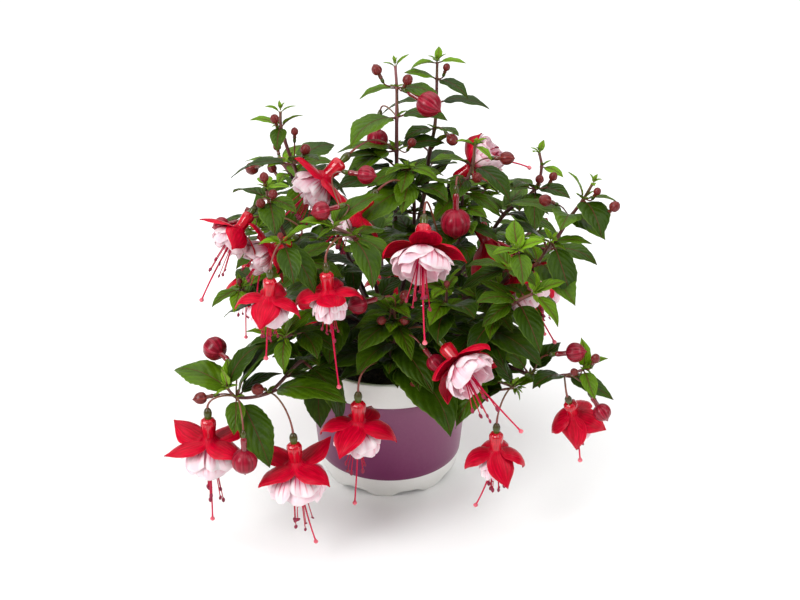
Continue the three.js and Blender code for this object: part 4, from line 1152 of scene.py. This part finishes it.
def label():
    """The printed film round the pot, with rounded edges."""
    shape = Shape()
    proud, soft, sunk = 0.2, 0.2, 0.25
    heights = np.linspace(BAND_BOTTOM + soft, BAND_TOP - soft, 14)
    profile = [(outer_radius(z) + proud, z) for z in heights]
    profile += [(outer_radius(BAND_TOP) + past, BAND_TOP) for past in (proud / 2, -sunk)]
    profile += [(outer_radius(BAND_BOTTOM) + past, BAND_BOTTOM) for past in (-sunk, proud / 2)]
    turned(shape, profile, POT_SIDES, closed=True)
    weld(shape.build("label_film", [LABEL], "label_print", "label_band"))


def lumps(points, size, height, seed):
    """How high each point is lifted, from summed noise."""
    shift = Vector((seed * 17.3, seed * 5.1, seed * 2.7))
    return np.array([height * noise.fractal(Vector(p) / size + shift, 0.8, 2.1, 4) for p in points])


def soil():
    """Lumpy peat up to the rim's inside, with loose crumbs on top."""
    shape = Shape()
    fit, under = 0.6, 0.3
    edge, edge_drop = 6, 1.5
    wall_top = outer_radius(BAND_TOP) - WALL - fit
    floor_radius = outer_radius(FLOOR_TOP) - WALL - fit

    def mound(distance):
        return SOIL_TOP + SOIL_MOUND * ease((MOUND_RADIUS - distance) / MOUND_SLOPE)

    radii = np.linspace(wall_top, 1, 52)
    heights = mound(radii) - edge_drop * ease((radii - wall_top + edge) / edge)
    profile = [(0, FLOOR_TOP + under), (floor_radius, FLOOR_TOP + under), (wall_top, BAND_TOP)]
    top_from = len(profile)
    profile += list(zip(radii, heights)) + [(0, SOIL_TOP + SOIL_MOUND)]

    def lumpy(rings):
        top = rings[top_from:]
        flat = top.reshape(-1, 3)
        rise = lumps(flat * (1, 1, 0), 9, 1.1, 3) + lumps(flat * (1, 1, 0), 3, 0.5, 4)
        top[..., 2] += rise.reshape(top.shape[:2])
        top[-1, :, 2] = top[-1, 0, 2]
        return rings

    turned(shape, profile, SOIL_SIDES, lift=lumpy)
    rng = dice("crumbs")
    ball = bmesh.new()
    bmesh.ops.create_icosphere(ball, subdivisions=2, radius=1)
    corners = np.array([v.co for v in ball.verts])
    faces = [[v.index for v in f.verts] for f in ball.faces]
    ball.free()
    for i in range(CRUMBS):
        distance = wall_top * math.sqrt(rng.uniform(0.03, 0.93))
        bearing = rng.uniform(0, 2 * math.pi)
        size = rng.uniform(0.5, 1.9) * rng.uniform(0.7, 1)
        at = polar(distance, bearing, mound(distance) + 0.2 * size)
        stretch = rng.uniform(0.6, 1.25, 3)
        bent = corners * (1 + 0.25 * np.sin(corners @ rng.uniform(-4, 4, (3, 1)) + i))
        shape.add(at + bent * stretch * size, [faces], (0, 0, 0), (0, 0, 0), 0)
    weld(shape.build("potting_soil", [PEAT], "potting_soil", "soil"))


def crown():
    """Old wood at the middle of the pot, with an arm to each shoot, grown together."""
    shape = Shape()
    sides, sunk, head = 18, 2, 4
    foot = SOIL_TOP + SOIL_MOUND - sunk
    heights = np.linspace(foot, CROWN[2] + head, 8)
    radii = np.interp(heights, [foot, foot + 4, CROWN[2], CROWN[2] + head], [9.5, 7.2, 5.6, 2.4])
    wobble = 1 + 0.14 * np.sin(np.arange(sides)[None, :] * 1.7 + heights[:, None] * 0.8)
    shape.tube([vec(0, 0, z) for z in heights], radii[:, None] * wobble, sides)
    for name, shoot in SHOOTS.items():
        rng = dice(name + " arm")
        start = arm_end(shoot)
        bend = sideways(unit(start - CROWN))[0] * rng.uniform(-1.6, 1.6)
        path = spline([CROWN, CROWN + (start - CROWN) * 0.5 + bend, start], 7)
        radii = np.linspace(ARM_BASE_RADIUS, STEM_BASE_RADIUS + 0.25, len(path))
        knots = 1 + 0.10 * rng.normal(size=len(path))
        shape.tube(path, radii * knots, 9)
    piece = shape.build("old_wood", [BARK], "old_wood", "woody_crown")
    grown = piece.modifiers.new("grown together", "REMESH")
    grown.mode = "VOXEL"
    grown.voxel_size = BARK_GRAIN * MM
    soft = piece.modifiers.new("soft", "SMOOTH")
    soft.iterations = 2
    apply_modifiers(piece)
    piece.data.shade_smooth()


# The shoots

def arm_end(shoot):
    return CROWN + unit(vec(*shoot["stem"][0]) - CROWN) * ARM_LENGTH


def stem_path(shoot):
    return spline([arm_end(shoot), *shoot["stem"]], STEM_STEPS)


def stem_point(shoot, number):
    return stem_path(shoot)[round(number * STEM_STEPS)]


def leaf_line(base, tip, share):
    """Points along a drooping leaf, with the directions across it and up from it at each."""
    chord = tip - base
    length = float(np.linalg.norm(chord))
    heading = unit(chord * (1, 1, 0) + (1e-4, 0, 0))
    droop = DROOP_BASE + DROOP_PER_MM * length
    start = math.asin(max(-0.98, min(0.98, chord[2] / length))) + droop / 2
    radius = length / (2 * math.sin(droop / 2))
    angle = (start - droop * np.asarray(share))[:, None]
    at = base + heading * radius * (math.sin(start) - np.sin(angle))
    at = at + UP * radius * (np.cos(angle) - math.cos(start))
    across = np.cross(heading, UP) * np.ones_like(angle)
    up = UP * np.cos(angle) - heading * np.sin(angle)
    return length, at, across, up


def blade_outline(u):
    """Half the width of a leaf as a share of its greatest: round at the foot, drawn out at the tip."""
    widest = 0.36
    foot, point = 0.58, 0.58 * (1 - widest) / widest
    share = u ** foot * (1 - u) ** point
    return share / (widest ** foot * (1 - widest) ** point) * (1 - 0.12 * ease((u - 0.62) / 0.38))


def leaf(blades, stalks, base, tip, age, rng, broad=1.04):
    """One leaf: a folded, veined blade with teeth, on a petiole that runs on as its midrib."""
    reach = float(np.linalg.norm(tip - base))
    rows = int(np.clip(reach / 2.1, 7, 25))
    v = np.linspace(0, 1, rows)
    u = 0.65 * v + 0.35 * (1 - np.cos(math.pi * v)) / 2
    lean = rng.normal(0, 0.2)
    bend = rng.uniform(-0.05, 0.05)
    tuck = rng.uniform(0.02, 0.09)
    fold = rng.uniform(0.08, 0.34) + 0.25 * age
    curl = rng.uniform(0.03, 0.2)
    chance = rng.uniform()

    def framed(share):
        along = np.clip((share - PETIOLE_SHARE) / (1 - PETIOLE_SHARE), 0, 1)
        length, at, across, up = leaf_line(base, tip, share)
        turn = (lean * (0.25 + 0.75 * along))[:, None]
        side = across * np.cos(turn) + up * np.sin(turn)
        rise = up * np.cos(turn) - across * np.sin(turn)
        at = at + side * (bend * length * 4 * along * (1 - along))[:, None]
        at = at - rise * (tuck * length * (along ** 3))[:, None]
        return length, at, side, rise, along

    length, at, side, rise, _ = framed(PETIOLE_SHARE + (1 - PETIOLE_SHARE) * u)
    broad = broad * rng.uniform(0.88, 1.12)
    half = np.maximum(0.5 * LEAF_WIDTH * broad * length * blade_outline(u), 0.4)
    half[-1] = 0.12
    toothed = (u > 0.1) & (u < 0.97)
    tooth = 1 + 0.024 * np.where(np.arange(rows) % 2, 1, -1) * toothed
    t = LEAF_COLUMNS[None, :]
    off = np.abs(t)
    width = half[:, None] * t * np.where(off == 1, tooth[:, None], 1)
    lag = VEIN_SLANT * off + 0.16 * off ** 2.2
    bulge = 0.0035 * length * np.cos(2 * math.pi * LEAF_PAIRS * (u[:, None] - lag))
    wave = 0.07 * half[:, None] * np.sin(2 * math.pi * 2.3 * u[:, None] + 5 * chance + t)
    height = half[:, None] * (fold * (np.sqrt(off ** 2 + 0.02) - 0.14) - curl * off ** 3)
    height = height - bulge * 4 * off * (1 - off) + wave * off ** 2
    grid = at[:, None] + side[:, None] * width[..., None] + rise[:, None] * height[..., None]
    blades.sheet(grid, stacked(u[:, None], t, half[:, None]), LEAF_THICKNESS, (age, chance))
    steps = 9 if reach > 16 else 5
    share = np.linspace(0, 0.93, steps)
    _, line, _, rise, along = framed(share)
    thick = 0.28 + 0.011 * length
    radii = thick * np.interp(along, [0, 0.05, 1], [1, 0.75, 0.2])
    stalks.tube(line - rise * (0.7 * radii)[:, None], radii, 5, (age, chance, 0), PETIOLE_KIND)


def cad_tip(corners, base, tip):
    """Where the plain leaf in the frame really ends: it may have been moved to clear its neighbours."""
    for lift, reach in LEAF_TRIES:
        place = base + (tip - base) * reach + UP * lift
        if np.min(np.linalg.norm(corners - place, axis=1)) < 0.2:
            return place
    raise ValueError(f"no leaf of the frame ends near {tip}")


def node_corners(name):
    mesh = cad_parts[name].data
    corners = np.zeros(len(mesh.vertices) * 3)
    mesh.vertices.foreach_get("co", corners)
    return corners.reshape(-1, 3) / MM


def stalk_path(start, end, aim, steps):
    """A stalk leaves the stem outwards and upwards, and ends in the direction of what it carries."""
    span = end - start
    length = np.linalg.norm(span)
    leaving = unit(vec(0.8 * span[0], 0.8 * span[1], 0.6 * math.hypot(span[0], span[1]) + 1e-3))
    return bezier(start, start + leaving * 0.35 * length, end - aim * 0.45 * length, end, steps)


def bud(shape, start, centre, aim, diameter, kind, tall):
    """A closed bud on its stalk: ovary, short tube, and a ribbed body that ends in a point."""
    radius = diameter / 2
    size = min(1.0, 0.45 + diameter / 32)
    tube_start = -radius - 0.55 * diameter
    ovary = 4 * size + 1
    hang = centre + aim * (tube_start - ovary + 1)
    path = stalk_path(start, hang, aim, 12)
    shape.tube(path, np.linspace(0.5, 0.62, len(path)) * (0.55 + 0.45 * size), 6, kind=STALK_KIND)
    rings = np.linspace(0, 1, 7)
    swell = np.interp(rings, [0, 0.15, 0.5, 0.85, 1], [0.7, 1.3, 2.0, 1.75, 1.5]) * size
    line = centre + aim * (tube_start - ovary + (ovary + 0.4) * rings)[:, None]
    shape.tube(line, swell, 10, kind=OVARY_KIND)
    rings = np.linspace(0, 1, 8)
    swell = np.interp(rings, [0, 0.1, 0.3, 0.6, 1], [1.1, 1.9, 2.2, 1.85, 2.1]) * size
    line = centre + aim * (tube_start + (-0.8 * radius - tube_start) * rings)[:, None]
    shape.tube(line, swell, 14, (0, float(kind == SMALL_KIND), 0), TUBE_KIND)
    at = np.array([-0.95, -0.9, -0.77, -0.56, -0.3, -0.05, 0.2, 0.42, 0.62, 0.78, 0.9, 1.0, 1.1, 1.2])
    wide = np.array([0.16, 0.42, 0.66, 0.86, 0.98, 1.0, 0.97, 0.89, 0.76, 0.58, 0.38, 0.2, 0.09, 0.03])
    steps, sides = (22, 48) if diameter > 9.5 else (15, 24)
    distance = np.interp(np.linspace(0, 1, steps), np.linspace(0, 1, len(at)), at)
    girth = np.interp(distance, at, wide) * radius
    reach = np.where(distance > 0, distance * tall, distance)
    turn = turns(sides)
    ribs = 0.95 + 0.05 * np.abs(np.sin(4 * turn)) ** 0.6
    body = np.clip(np.minimum(girth, radius * 0.9) / (0.9 * radius), 0, 1)[:, None]
    shape.tube(centre + aim * (radius * reach)[:, None], girth[:, None] * (1 + (ribs - 1) * body), sides,
               kind=kind)


def rosette(blades, stalks, at, direction, size, rng):
    """The youngest leaves at a shoot's end, in pairs that cross."""
    across, up = sideways(direction)
    turn = rng.uniform(0, math.pi)
    for level, (share, lean) in enumerate(((1.0, 1.1), (0.6, 0.85), (0.34, 0.5))):
        for half_turn in (0, math.pi):
            bearing = turn + level * math.pi / 2 + half_turn + rng.normal(0, 0.2)
            outward = across * math.cos(bearing) + up * math.sin(bearing)
            tilt = lean + rng.normal(0, 0.12)
            heading = direction * math.cos(tilt) + outward * math.sin(tilt)
            base = at + direction * 1.4 * level
            leaf(blades, stalks, base, base + heading * size * share * rng.uniform(0.85, 1.15),
                 0.75 + 0.12 * level, rng, 0.9)


def tuft(blades, stalks, at, outward, rng):
    """A pair of tiny leaves in the corner between a leaf and its stem."""
    side = np.cross(outward, UP)
    for turn in (-1, 1):
        heading = unit(outward * 0.7 + side * turn * 0.6 + UP * rng.uniform(0.3, 0.9))
        leaf(blades, stalks, at, at + heading * rng.uniform(5, 10), rng.uniform(0.75, 1), rng, 0.85)


def room(points, taken):
    """How far the nearest of the taken points is."""
    gaps = np.linalg.norm(points[:, None] - np.asarray(taken)[None], axis=2)
    return gaps.min()


def filler_tip(base, length, taken, rng):
    """The freest of some places for one more leaf, or None where there is no room."""
    best, best_room = None, FILLER_ROOM
    for _ in range(FILLER_TRIES):
        bearing = rng.uniform(0, 2 * math.pi)
        rise = rng.uniform(-0.55, 0.45)
        reach = length * rng.uniform(0.8, 1.15)
        tip = base + reach * polar(math.cos(rise), bearing, math.sin(rise))
        points = leaf_line(base, tip, FILLER_MARKS)[1]
        inside = np.all(np.sum(((points - BUSH_MIDDLE) / BUSH_REACH) ** 2, axis=1) < 1)
        airy = np.any(np.all((points > AIRY[0]) & (points < AIRY[1]), axis=1))
        aside = np.hypot(points[:, 0], points[:, 1]) > POT_CLEARANCE
        clear = np.all(aside | (points[:, 2] > POT_CLEAR_HEIGHT))
        if inside and clear and not airy and room(points, taken) > best_room:
            best, best_room = tip, room(points, taken)
    return best


def leaf_marks(base, tip):
    """The points that a leaf takes up."""
    return list(leaf_line(base, tip, LEAF_MARKS)[1])


def youth(most, longest, spread, reach):
    """How young a leaf is from its length: 0 from the longest on, and up to most for a short one."""
    return most * ease((longest - reach) / spread)


def plan_leaves():
    """Each shoot's leaves as (point number, base, tip, age): those of the frame, then those that it
    leaves out, then fillers where there is room."""
    planned, taken = {}, []
    for name, shoot in SHOOTS.items():
        corners = node_corners(name)
        last = len(shoot["stem"])
        planned[name] = []
        for number, x, y, z, *shorter in shoot["leaves"]:
            base = stem_point(shoot, number)
            tip = cad_tip(corners, base, vec(x, y, z))
            for share in shorter:
                tip = base + (tip - base) * share
            age = youth(0.62, 34, 22, np.linalg.norm(tip - base)) * (0.55 + 0.45 * number / last)
            age = age + 0.12 * (number == last)
            planned[name].append((number, base, tip, age))
            taken += leaf_marks(base, tip)
        for bud_spec in shoot.get("swollen", []):
            taken.append(vec(*bud_spec[1:4]))
    for name, number, *tip in MORE_LEAVES:
        base, tip = stem_point(SHOOTS[name], number), vec(*tip)
        planned[name].append((number, base, tip, youth(0.4, 44, 24, np.linalg.norm(tip - base))))
        taken += leaf_marks(base, tip)
    for spec in FLOWERS.values():
        bloom = Bloom(spec["top"], spec.get("faces", spec["aim"]))
        taken += [bloom.top + bloom.aim * reach for reach in FLOWER_MARKS]
        for bearing, *_ in spec["sepals"]:
            taken.append(bloom.at(SEPAL_MARK, math.radians(bearing), MOUTH + 2.0))
    for name, shoot in SHOOTS.items():
        rng = dice(name + " fillers")
        last = len(shoot["stem"])
        for number in np.arange(0.5, last + 0.1, 0.5):
            base = stem_point(shoot, number)
            for _ in range(FILLERS.get(name, FILLERS_USUAL)):
                length = rng.uniform(24, 50) * (1 - 0.4 * number / last)
                tip = filler_tip(base, length, taken, rng)
                if tip is not None:
                    planned[name].append((number, base, tip, youth(0.45, 34, 20, length)))
                    taken += leaf_marks(base, tip)
    return planned


def shoot_pieces(name, shoot, planned):
    """Two pieces: the blades, and the stem with its petioles and buds."""
    blades, stalks = Shape(), Shape()
    rng = dice(name)
    path = stem_path(shoot)
    share = np.linspace(0, 1, len(path))
    radii = STEM_BASE_RADIUS + (STEM_TIP_RADIUS - STEM_BASE_RADIUS) * share
    spread = (np.arange(len(path)) + STEM_STEPS / 2) % STEM_STEPS - STEM_STEPS / 2
    knots = 1 + NODE_SWELL * np.exp(-(spread / NODE_LENGTH) ** 2) * (share > 0.02)
    hue = 0.9 if name == "shoot_top_centre" else rng.uniform(0.0, 0.55)
    stalks.tube(path, radii * knots, 12, (rng.uniform(0, 40), hue, 0))
    for number, base, tip, age in planned:
        leaf(blades, stalks, base, tip, age, rng)
        if number > 1 and rng.uniform() < TUFT_CHANCE:
            tuft(blades, stalks, base, unit((tip - base) * (1, 1, 0)), rng)
    rosette(blades, stalks, path[-1], unit(path[-1] - path[-3]), rng.uniform(8, 12.5), rng)
    for number, *numbers, diameter in shoot.get("swollen", []):
        centre, aim = vec(*numbers[:3]), unit(numbers[3:])
        bud(stalks, stem_point(shoot, number), centre, aim, diameter, SWOLLEN_KIND, 0.95)
    for number, *place, diameter in shoot.get("small", []):
        start, centre = stem_point(shoot, number), vec(*place)
        lifted = 0.7 if diameter < LIGHT_BUD else -0.2
        aim = unit(unit(centre - start) + UP * lifted)
        bud(stalks, start, centre, aim, diameter, SMALL_KIND, 1.2)
    stem_looks = [STEM, PETIOLE, STALK, OVARY, BUD_TUBE, SWOLLEN, SMALL]
    stalks.build(name + "_stem", stem_looks, "green_shoot", name)
    blades.build(name + "_leaves", [LEAF], "green_shoot", name)


# The flowers

class Bloom:
    """A flower's own frame, whose origin is where the stalk meets the ovary."""

    def __init__(self, top, aim):
        self.top = vec(*top)
        self.aim = unit(aim)
        self.across = unit(vec(1, 0, 0) - self.aim * self.aim[0])
        self.up = np.cross(self.across, self.aim)

    def outward(self, bearing):
        return (self.across * np.cos(bearing)[..., None]) + (self.up * np.sin(bearing)[..., None])

    def at(self, radius, bearing, distance):
        """Points at a distance along the flower's axis and at a radius from it."""
        radius, bearing, distance = (np.asarray(x, float) for x in (radius, bearing, distance))
        return self.top + self.outward(bearing) * radius[..., None] + self.aim * distance[..., None]


def ovary_and_tube(shape, bloom):
    """The round ovary and the fluted tube behind the sepals."""
    distance = np.linspace(0, OVARY_LENGTH + 0.3, 12)
    girth = np.interp(distance, [0, 0.6, 1.6, 3.4, 5.2, 7, 8.3], [0.75, 1.4, 2.2, 2.75, 2.65, 2.15, 1.9])
    shape.tube(bloom.top + bloom.aim * distance[:, None], girth, 20, kind=OVARY_PART, across=bloom.across)
    at = [7.7, 7.8, 8.1, 8.6, 9.4, 10.6, 12.2, 14.5, 17.0, 19.5, 21.6, 22.6]
    wide = [1.9, 2.6, 3.3, 4.0, 4.6, 5.0, 5.0, 4.7, 4.35, 4.15, 4.15, 3.9]
    turn = turns(40)
    at = np.array(at)[:, None]
    flutes = 0.012 * np.cos(8 * turn) + 0.06 * np.cos(8 * turn) * np.exp(-((at - 8.9) / 1.1) ** 2)
    radii = np.array(wide)[:, None] * (1 + flutes)
    shape.tube(bloom.top + bloom.aim * at, radii, 40, kind=TUBE_PART, across=bloom.across)


def sepal(shape, bloom, bearing, start, end, rng, late=1.3):
    """A sepal runs down the tube, turns outwards and arches over to a drawn-out tip."""
    steps = 120
    fine = np.linspace(0, 1, steps)
    foot_lean = math.radians(6)
    lean = math.radians(start) + math.radians(end - start) * fine ** late
    lean = foot_lean + (lean - foot_lean) * ease(fine / 0.17)
    lean = lean + ease((fine - 0.8) / 0.2) * rng.uniform(-0.5, 0.7)
    step = SEPAL_LENGTH * rng.uniform(1.0, 1.08) / (steps - 1)
    out = MOUTH_RADIUS - 0.1 + running(np.sin(lean)[:-1]) * step
    down = MOUTH - 2.4 + running(np.cos(lean)[:-1]) * step
    v = np.linspace(0, 1, SEPAL_ROWS)
    s = 0.3 * v ** 2 + 0.7 * v
    out, down, lean = (np.interp(s, fine, x) for x in (out, down, lean))
    outline = spline([(x, y, 0) for x, y in SEPAL_OUTLINE], 6)
    half = np.interp(s, outline[:, 0], outline[:, 1]) * rng.uniform(0.93, 1.04)
    cup = np.interp(s, [0, 0.07, 0.2, 0.45, 0.8, 1], [1.3, 1.4, 2.2, 3.7, 2.1, 0.1])
    cup[1:] = cup[1:] * rng.uniform(0.75, 1.15)
    turn = math.radians(bearing)
    outward = bloom.outward(np.array(turn))
    edge = bloom.outward(np.array(turn + math.pi / 2))
    twist = rng.normal(0, 0.12) * s
    t = np.linspace(1, -1, SEPAL_COLUMNS)[None, :]
    normal = outward * np.cos(lean)[:, None] - bloom.aim * np.sin(lean)[:, None]
    middle = bloom.top + outward * out[:, None] + bloom.aim * down[:, None]
    sway = rng.normal(0, 1.2) * s ** 2
    ripple = 0.75 * np.sin(8 * s[:, None] + 3 * t + rng.uniform(0, 6)) * np.abs(t) ** 2 * s[:, None]
    ripple = ripple + 0.3 * np.cos(3 * math.pi * t) * (s * (1 - s ** 3))[:, None]
    crease = 0.35 * np.exp(-(t / 0.16) ** 2) * ease(s / 0.3)[:, None]
    height = ripple - cup[:, None] * t ** 2 - crease + half[:, None] * t * twist[:, None]
    grid = middle[:, None] + edge * (half[:, None] * t * (1 - 0.06 * t ** 2) + sway[:, None])[..., None]
    grid = grid + normal[:, None] * height[..., None]
    place = stacked(s[:, None], t, half[:, None])
    shape.sheet(grid, place, SEPAL_THICKNESS, (0, rng.uniform()), SEPAL_PART)


def stamens(shape, bloom, spec, rng):
    """Eight filaments with oval anthers, which hang a little towards the ground."""
    pull = -UP + bloom.aim * bloom.aim[2]
    open_wide = min(1.0, spec["skirt"] / OPEN_SKIRT)
    for i in range(STAMENS):
        long = 1 if i % 2 else 0.6
        free = COROLLA_LENGTH * spec.get("long", 1) - 2 + open_wide * long * rng.uniform(12, 21)
        reach = MOUTH + min(spec["style"] * 0.76, free) * spec.get("stamens", 1)
        bearing = np.array(2 * math.pi * i / STAMENS + rng.normal(0, 0.3))
        start = bloom.at(1.6, bearing, MOUTH + 1.0)
        middle = bloom.at(2.6, bearing, MOUTH + 12.0)
        end = bloom.at(rng.uniform(2.0, 9.0) * open_wide, bearing, reach) + pull * rng.uniform(6, 13)
        path = bezier(start, middle, middle + (end - middle) * 0.4, end, 10)
        shape.tube(path, np.linspace(0.45, 0.34, len(path)), 5, kind=FILAMENT_PART)
        heading = unit(unit(path[-1] - path[-2]) + rng.normal(0, 0.3, 3))
        size = rng.uniform(0.7, 1.0)
        along = np.linspace(-2.0, 2.0, 7) * size
        girth = np.sqrt(np.maximum(1 - (along / (2.05 * size)) ** 2, 0.02)) * 1.05 * size
        lobes = 1 + 0.25 * np.cos(2 * turns(10))
        shape.tube(end + heading * along[:, None], girth[:, None] * lobes, 10, kind=ANTHER_PART)


def pistil(shape, bloom, spec, size):
    """The long style, which ends in a round stigma."""
    end = bloom.top + bloom.aim * MOUTH * size
    plain = Bloom(spec["top"], spec["aim"])
    tip = plain.top + plain.aim * (MOUTH * size + spec["style"])
    tip = tip + plain.across * spec["sway"][0] + plain.up * spec["sway"][1]
    tip = vec(*spec.get("stigma", tip))
    knee = end + (tip - end) * 0.35 + bloom.aim * np.linalg.norm(tip - end) * 0.25
    start = end + bloom.aim * 2
    path = bezier(start, start + (knee - start) * 2 / 3, tip + (knee - tip) * 2 / 3, tip, 24)
    taper = np.interp(np.linspace(0, 1, 25), [0, 0.9, 1], [1.1, 0.85, 1.1])
    shape.tube(path, STYLE_RADIUS * taper, 9, kind=PISTIL_PART)
    heading = unit(path[-1] - path[-2])
    along = np.linspace(-1.5, 1.6, 9)
    girth = np.interp(along, [-1.5, -1.1, -0.2, 0.5, 1.2, 1.6], [0.55, 0.95, 1.4, 1.5, 1.05, 0.3])
    lobes = 1 + 0.09 * np.cos(4 * turns(16))
    shape.tube(tip + heading * along[:, None], girth[:, None] * lobes, 16, kind=STIGMA_PART)


def petal(shape, bloom, bearing, spread, course, skirt, long, ruffle, inner, rng):
    """One corolla petal. course is its way down as (distance past the mouth, share of the skirt)."""
    foot = 2.3
    distance, share = np.array(course, float).T
    line = spline(np.stack([distance, foot + (skirt - foot) * share, 0 * share], axis=1), 6)
    steps = running(np.linalg.norm(np.diff(line, axis=0), axis=1))
    steps = steps / steps[-1]
    u = np.linspace(0, 1, PETAL_ROWS)[:, None]
    t = np.linspace(1, -1, PETAL_COLUMNS)[None, :]
    off = np.abs(t)
    notch = 0.03 * np.cos(2.5 * math.pi * t + rng.uniform(0, 6)) * off
    here = u * (1 - 0.2 * off ** 3 - notch) * rng.uniform(0.84, 1.0)
    down = np.interp(here, steps, line[:, 0])
    out = np.interp(here, steps, line[:, 1])
    phase, beat = rng.uniform(0, 2 * math.pi), rng.uniform(3.5, 6)
    out = out + ruffle * np.sin(beat * t + phase) * here ** 1.6 + 1.3 * t * here
    out = out + 0.22 * np.sin(11 * t + phase) * here * (1 - 0.5 * here) - 0.5 * off ** 6 * here
    down = down + 0.5 * ruffle * np.cos(beat * t + 2 * phase) * here ** 2 + 0.9 * (1 - here)
    turn = bearing + math.radians(spread) * t * (0.5 + 0.5 * np.sqrt(u)) + rng.normal(0, 0.05)
    grid = bloom.at(out, turn, MOUTH + down * long)
    place = stacked(u, t, out * math.radians(spread))
    shape.sheet(grid, place, PETAL_THICKNESS, (inner, rng.uniform()))


def corolla(bloom, spec, rng):
    """Petals in three tiers, from the inside out."""
    shape = Shape()
    skirt = spec["skirt"]
    openness = min(1.0, skirt / OPEN_SKIRT)
    for tier, (petals, spread, ruffle, course) in enumerate(COROLLA_TIERS):
        first = rng.uniform(0, 2 * math.pi)
        for i in range(petals):
            # The number 1 - tier / 2 is how far inside the tier lies, which the petal material turns into
            # painted shade.
            petal(shape, bloom, first + i * 2 * math.pi / petals, spread, course, skirt,
                  spec.get("long", 1), ruffle * openness, 1 - tier / 2, rng)
    return shape


def flower(name, spec):
    """Two pieces: the corolla, and all else from the stalk to the pistil."""
    rng = dice(name)
    bloom = Bloom(spec["top"], spec.get("faces", spec["aim"]))
    size = spec.get("size", 1)
    shape = Shape()
    ovary_and_tube(shape, bloom)
    for bearing, start, end, *late in spec["sepals"]:
        sepal(shape, bloom, bearing + rng.normal(0, 3), start, end, rng, *late)
    stamens(shape, bloom, spec, rng)
    shape.scale(bloom.top, size)
    pistil(shape, bloom, spec, size)
    anchor = stem_point(SHOOTS[spec["shoot"]], spec["at"])
    path = stalk_path(anchor, bloom.top + bloom.aim * 0.6, bloom.aim, 24)
    taper = np.interp(np.linspace(0, 1, 25), [0, 0.1, 0.85, 1], [1.2, 0.9, 1, 1.3])
    shape.tube(path, PEDICEL_RADIUS * taper, 8)
    calyx_looks = [STALK, OVARY, TUBE, SEPAL, FILAMENT, ANTHER, PISTIL, STIGMA]
    shape.build(name + "_calyx", calyx_looks, "petals", name)
    petals = corolla(bloom, spec, rng)
    petals.scale(bloom.top, size)
    petals.build(name + "_corolla", [PETAL], "petals", name)


# The studio

def aimed(thing, place, target):
    """Puts a lamp or a camera in its place and turns it to a target."""
    thing.location = place
    thing.rotation_euler = (Vector(target) - Vector(place)).to_track_quat("-Z", "Y").to_euler()


def studio():
    """A pale floor, a dim white world and soft lights."""
    far = 6.0
    corners = [(-far, -far, 0), (far, -far, 0), (far, far, 0), (-far, far, 0)]
    mesh = bpy.data.meshes.new("floor")
    mesh.from_pydata(corners, [], [(0, 1, 2, 3)])
    mesh.materials.append(new_material("floor").give(Base_Color=(0.9, 0.9, 0.9, 1), Roughness=0.7))
    placed("floor", mesh)
    world = bpy.data.worlds.new("studio")
    bpy.context.scene.world = world
    world.use_nodes = True
    background = world.node_tree.nodes["Background"]
    background.inputs["Color"].default_value = (1, 1, 1, 1)
    background.inputs["Strength"].default_value = 0.3
    for name, place, size, power in SOFT_LIGHTS:
        light = bpy.data.lights.new(name, "AREA")
        light.shape = "RECTANGLE"
        light.size, light.size_y = size
        light.energy = power
        aimed(placed(name, light), place, LIT_POINT)


def camera():
    """The camera of the photograph."""
    data = bpy.data.cameras.new("camera")
    data.lens = FOCAL_MM
    data.sensor_width = SENSOR_MM
    data.shift_x, data.shift_y = SHIFT
    data.clip_start, data.clip_end = 0.01, 50
    eye = placed("camera", data)
    aimed(eye, CAMERA_AT, LOOKS_AT)
    bpy.context.scene.camera = eye


camera()
studio()
bpy.context.scene.view_settings.view_transform = "Standard"
pot()
label()
soil()
crown()
leaf_plan = plan_leaves()
for shoot_name, shoot_spec in SHOOTS.items():
    shoot_pieces(shoot_name, shoot_spec, leaf_plan[shoot_name])
for flower_name, flower_spec in FLOWERS.items():
    flower(flower_name, flower_spec)
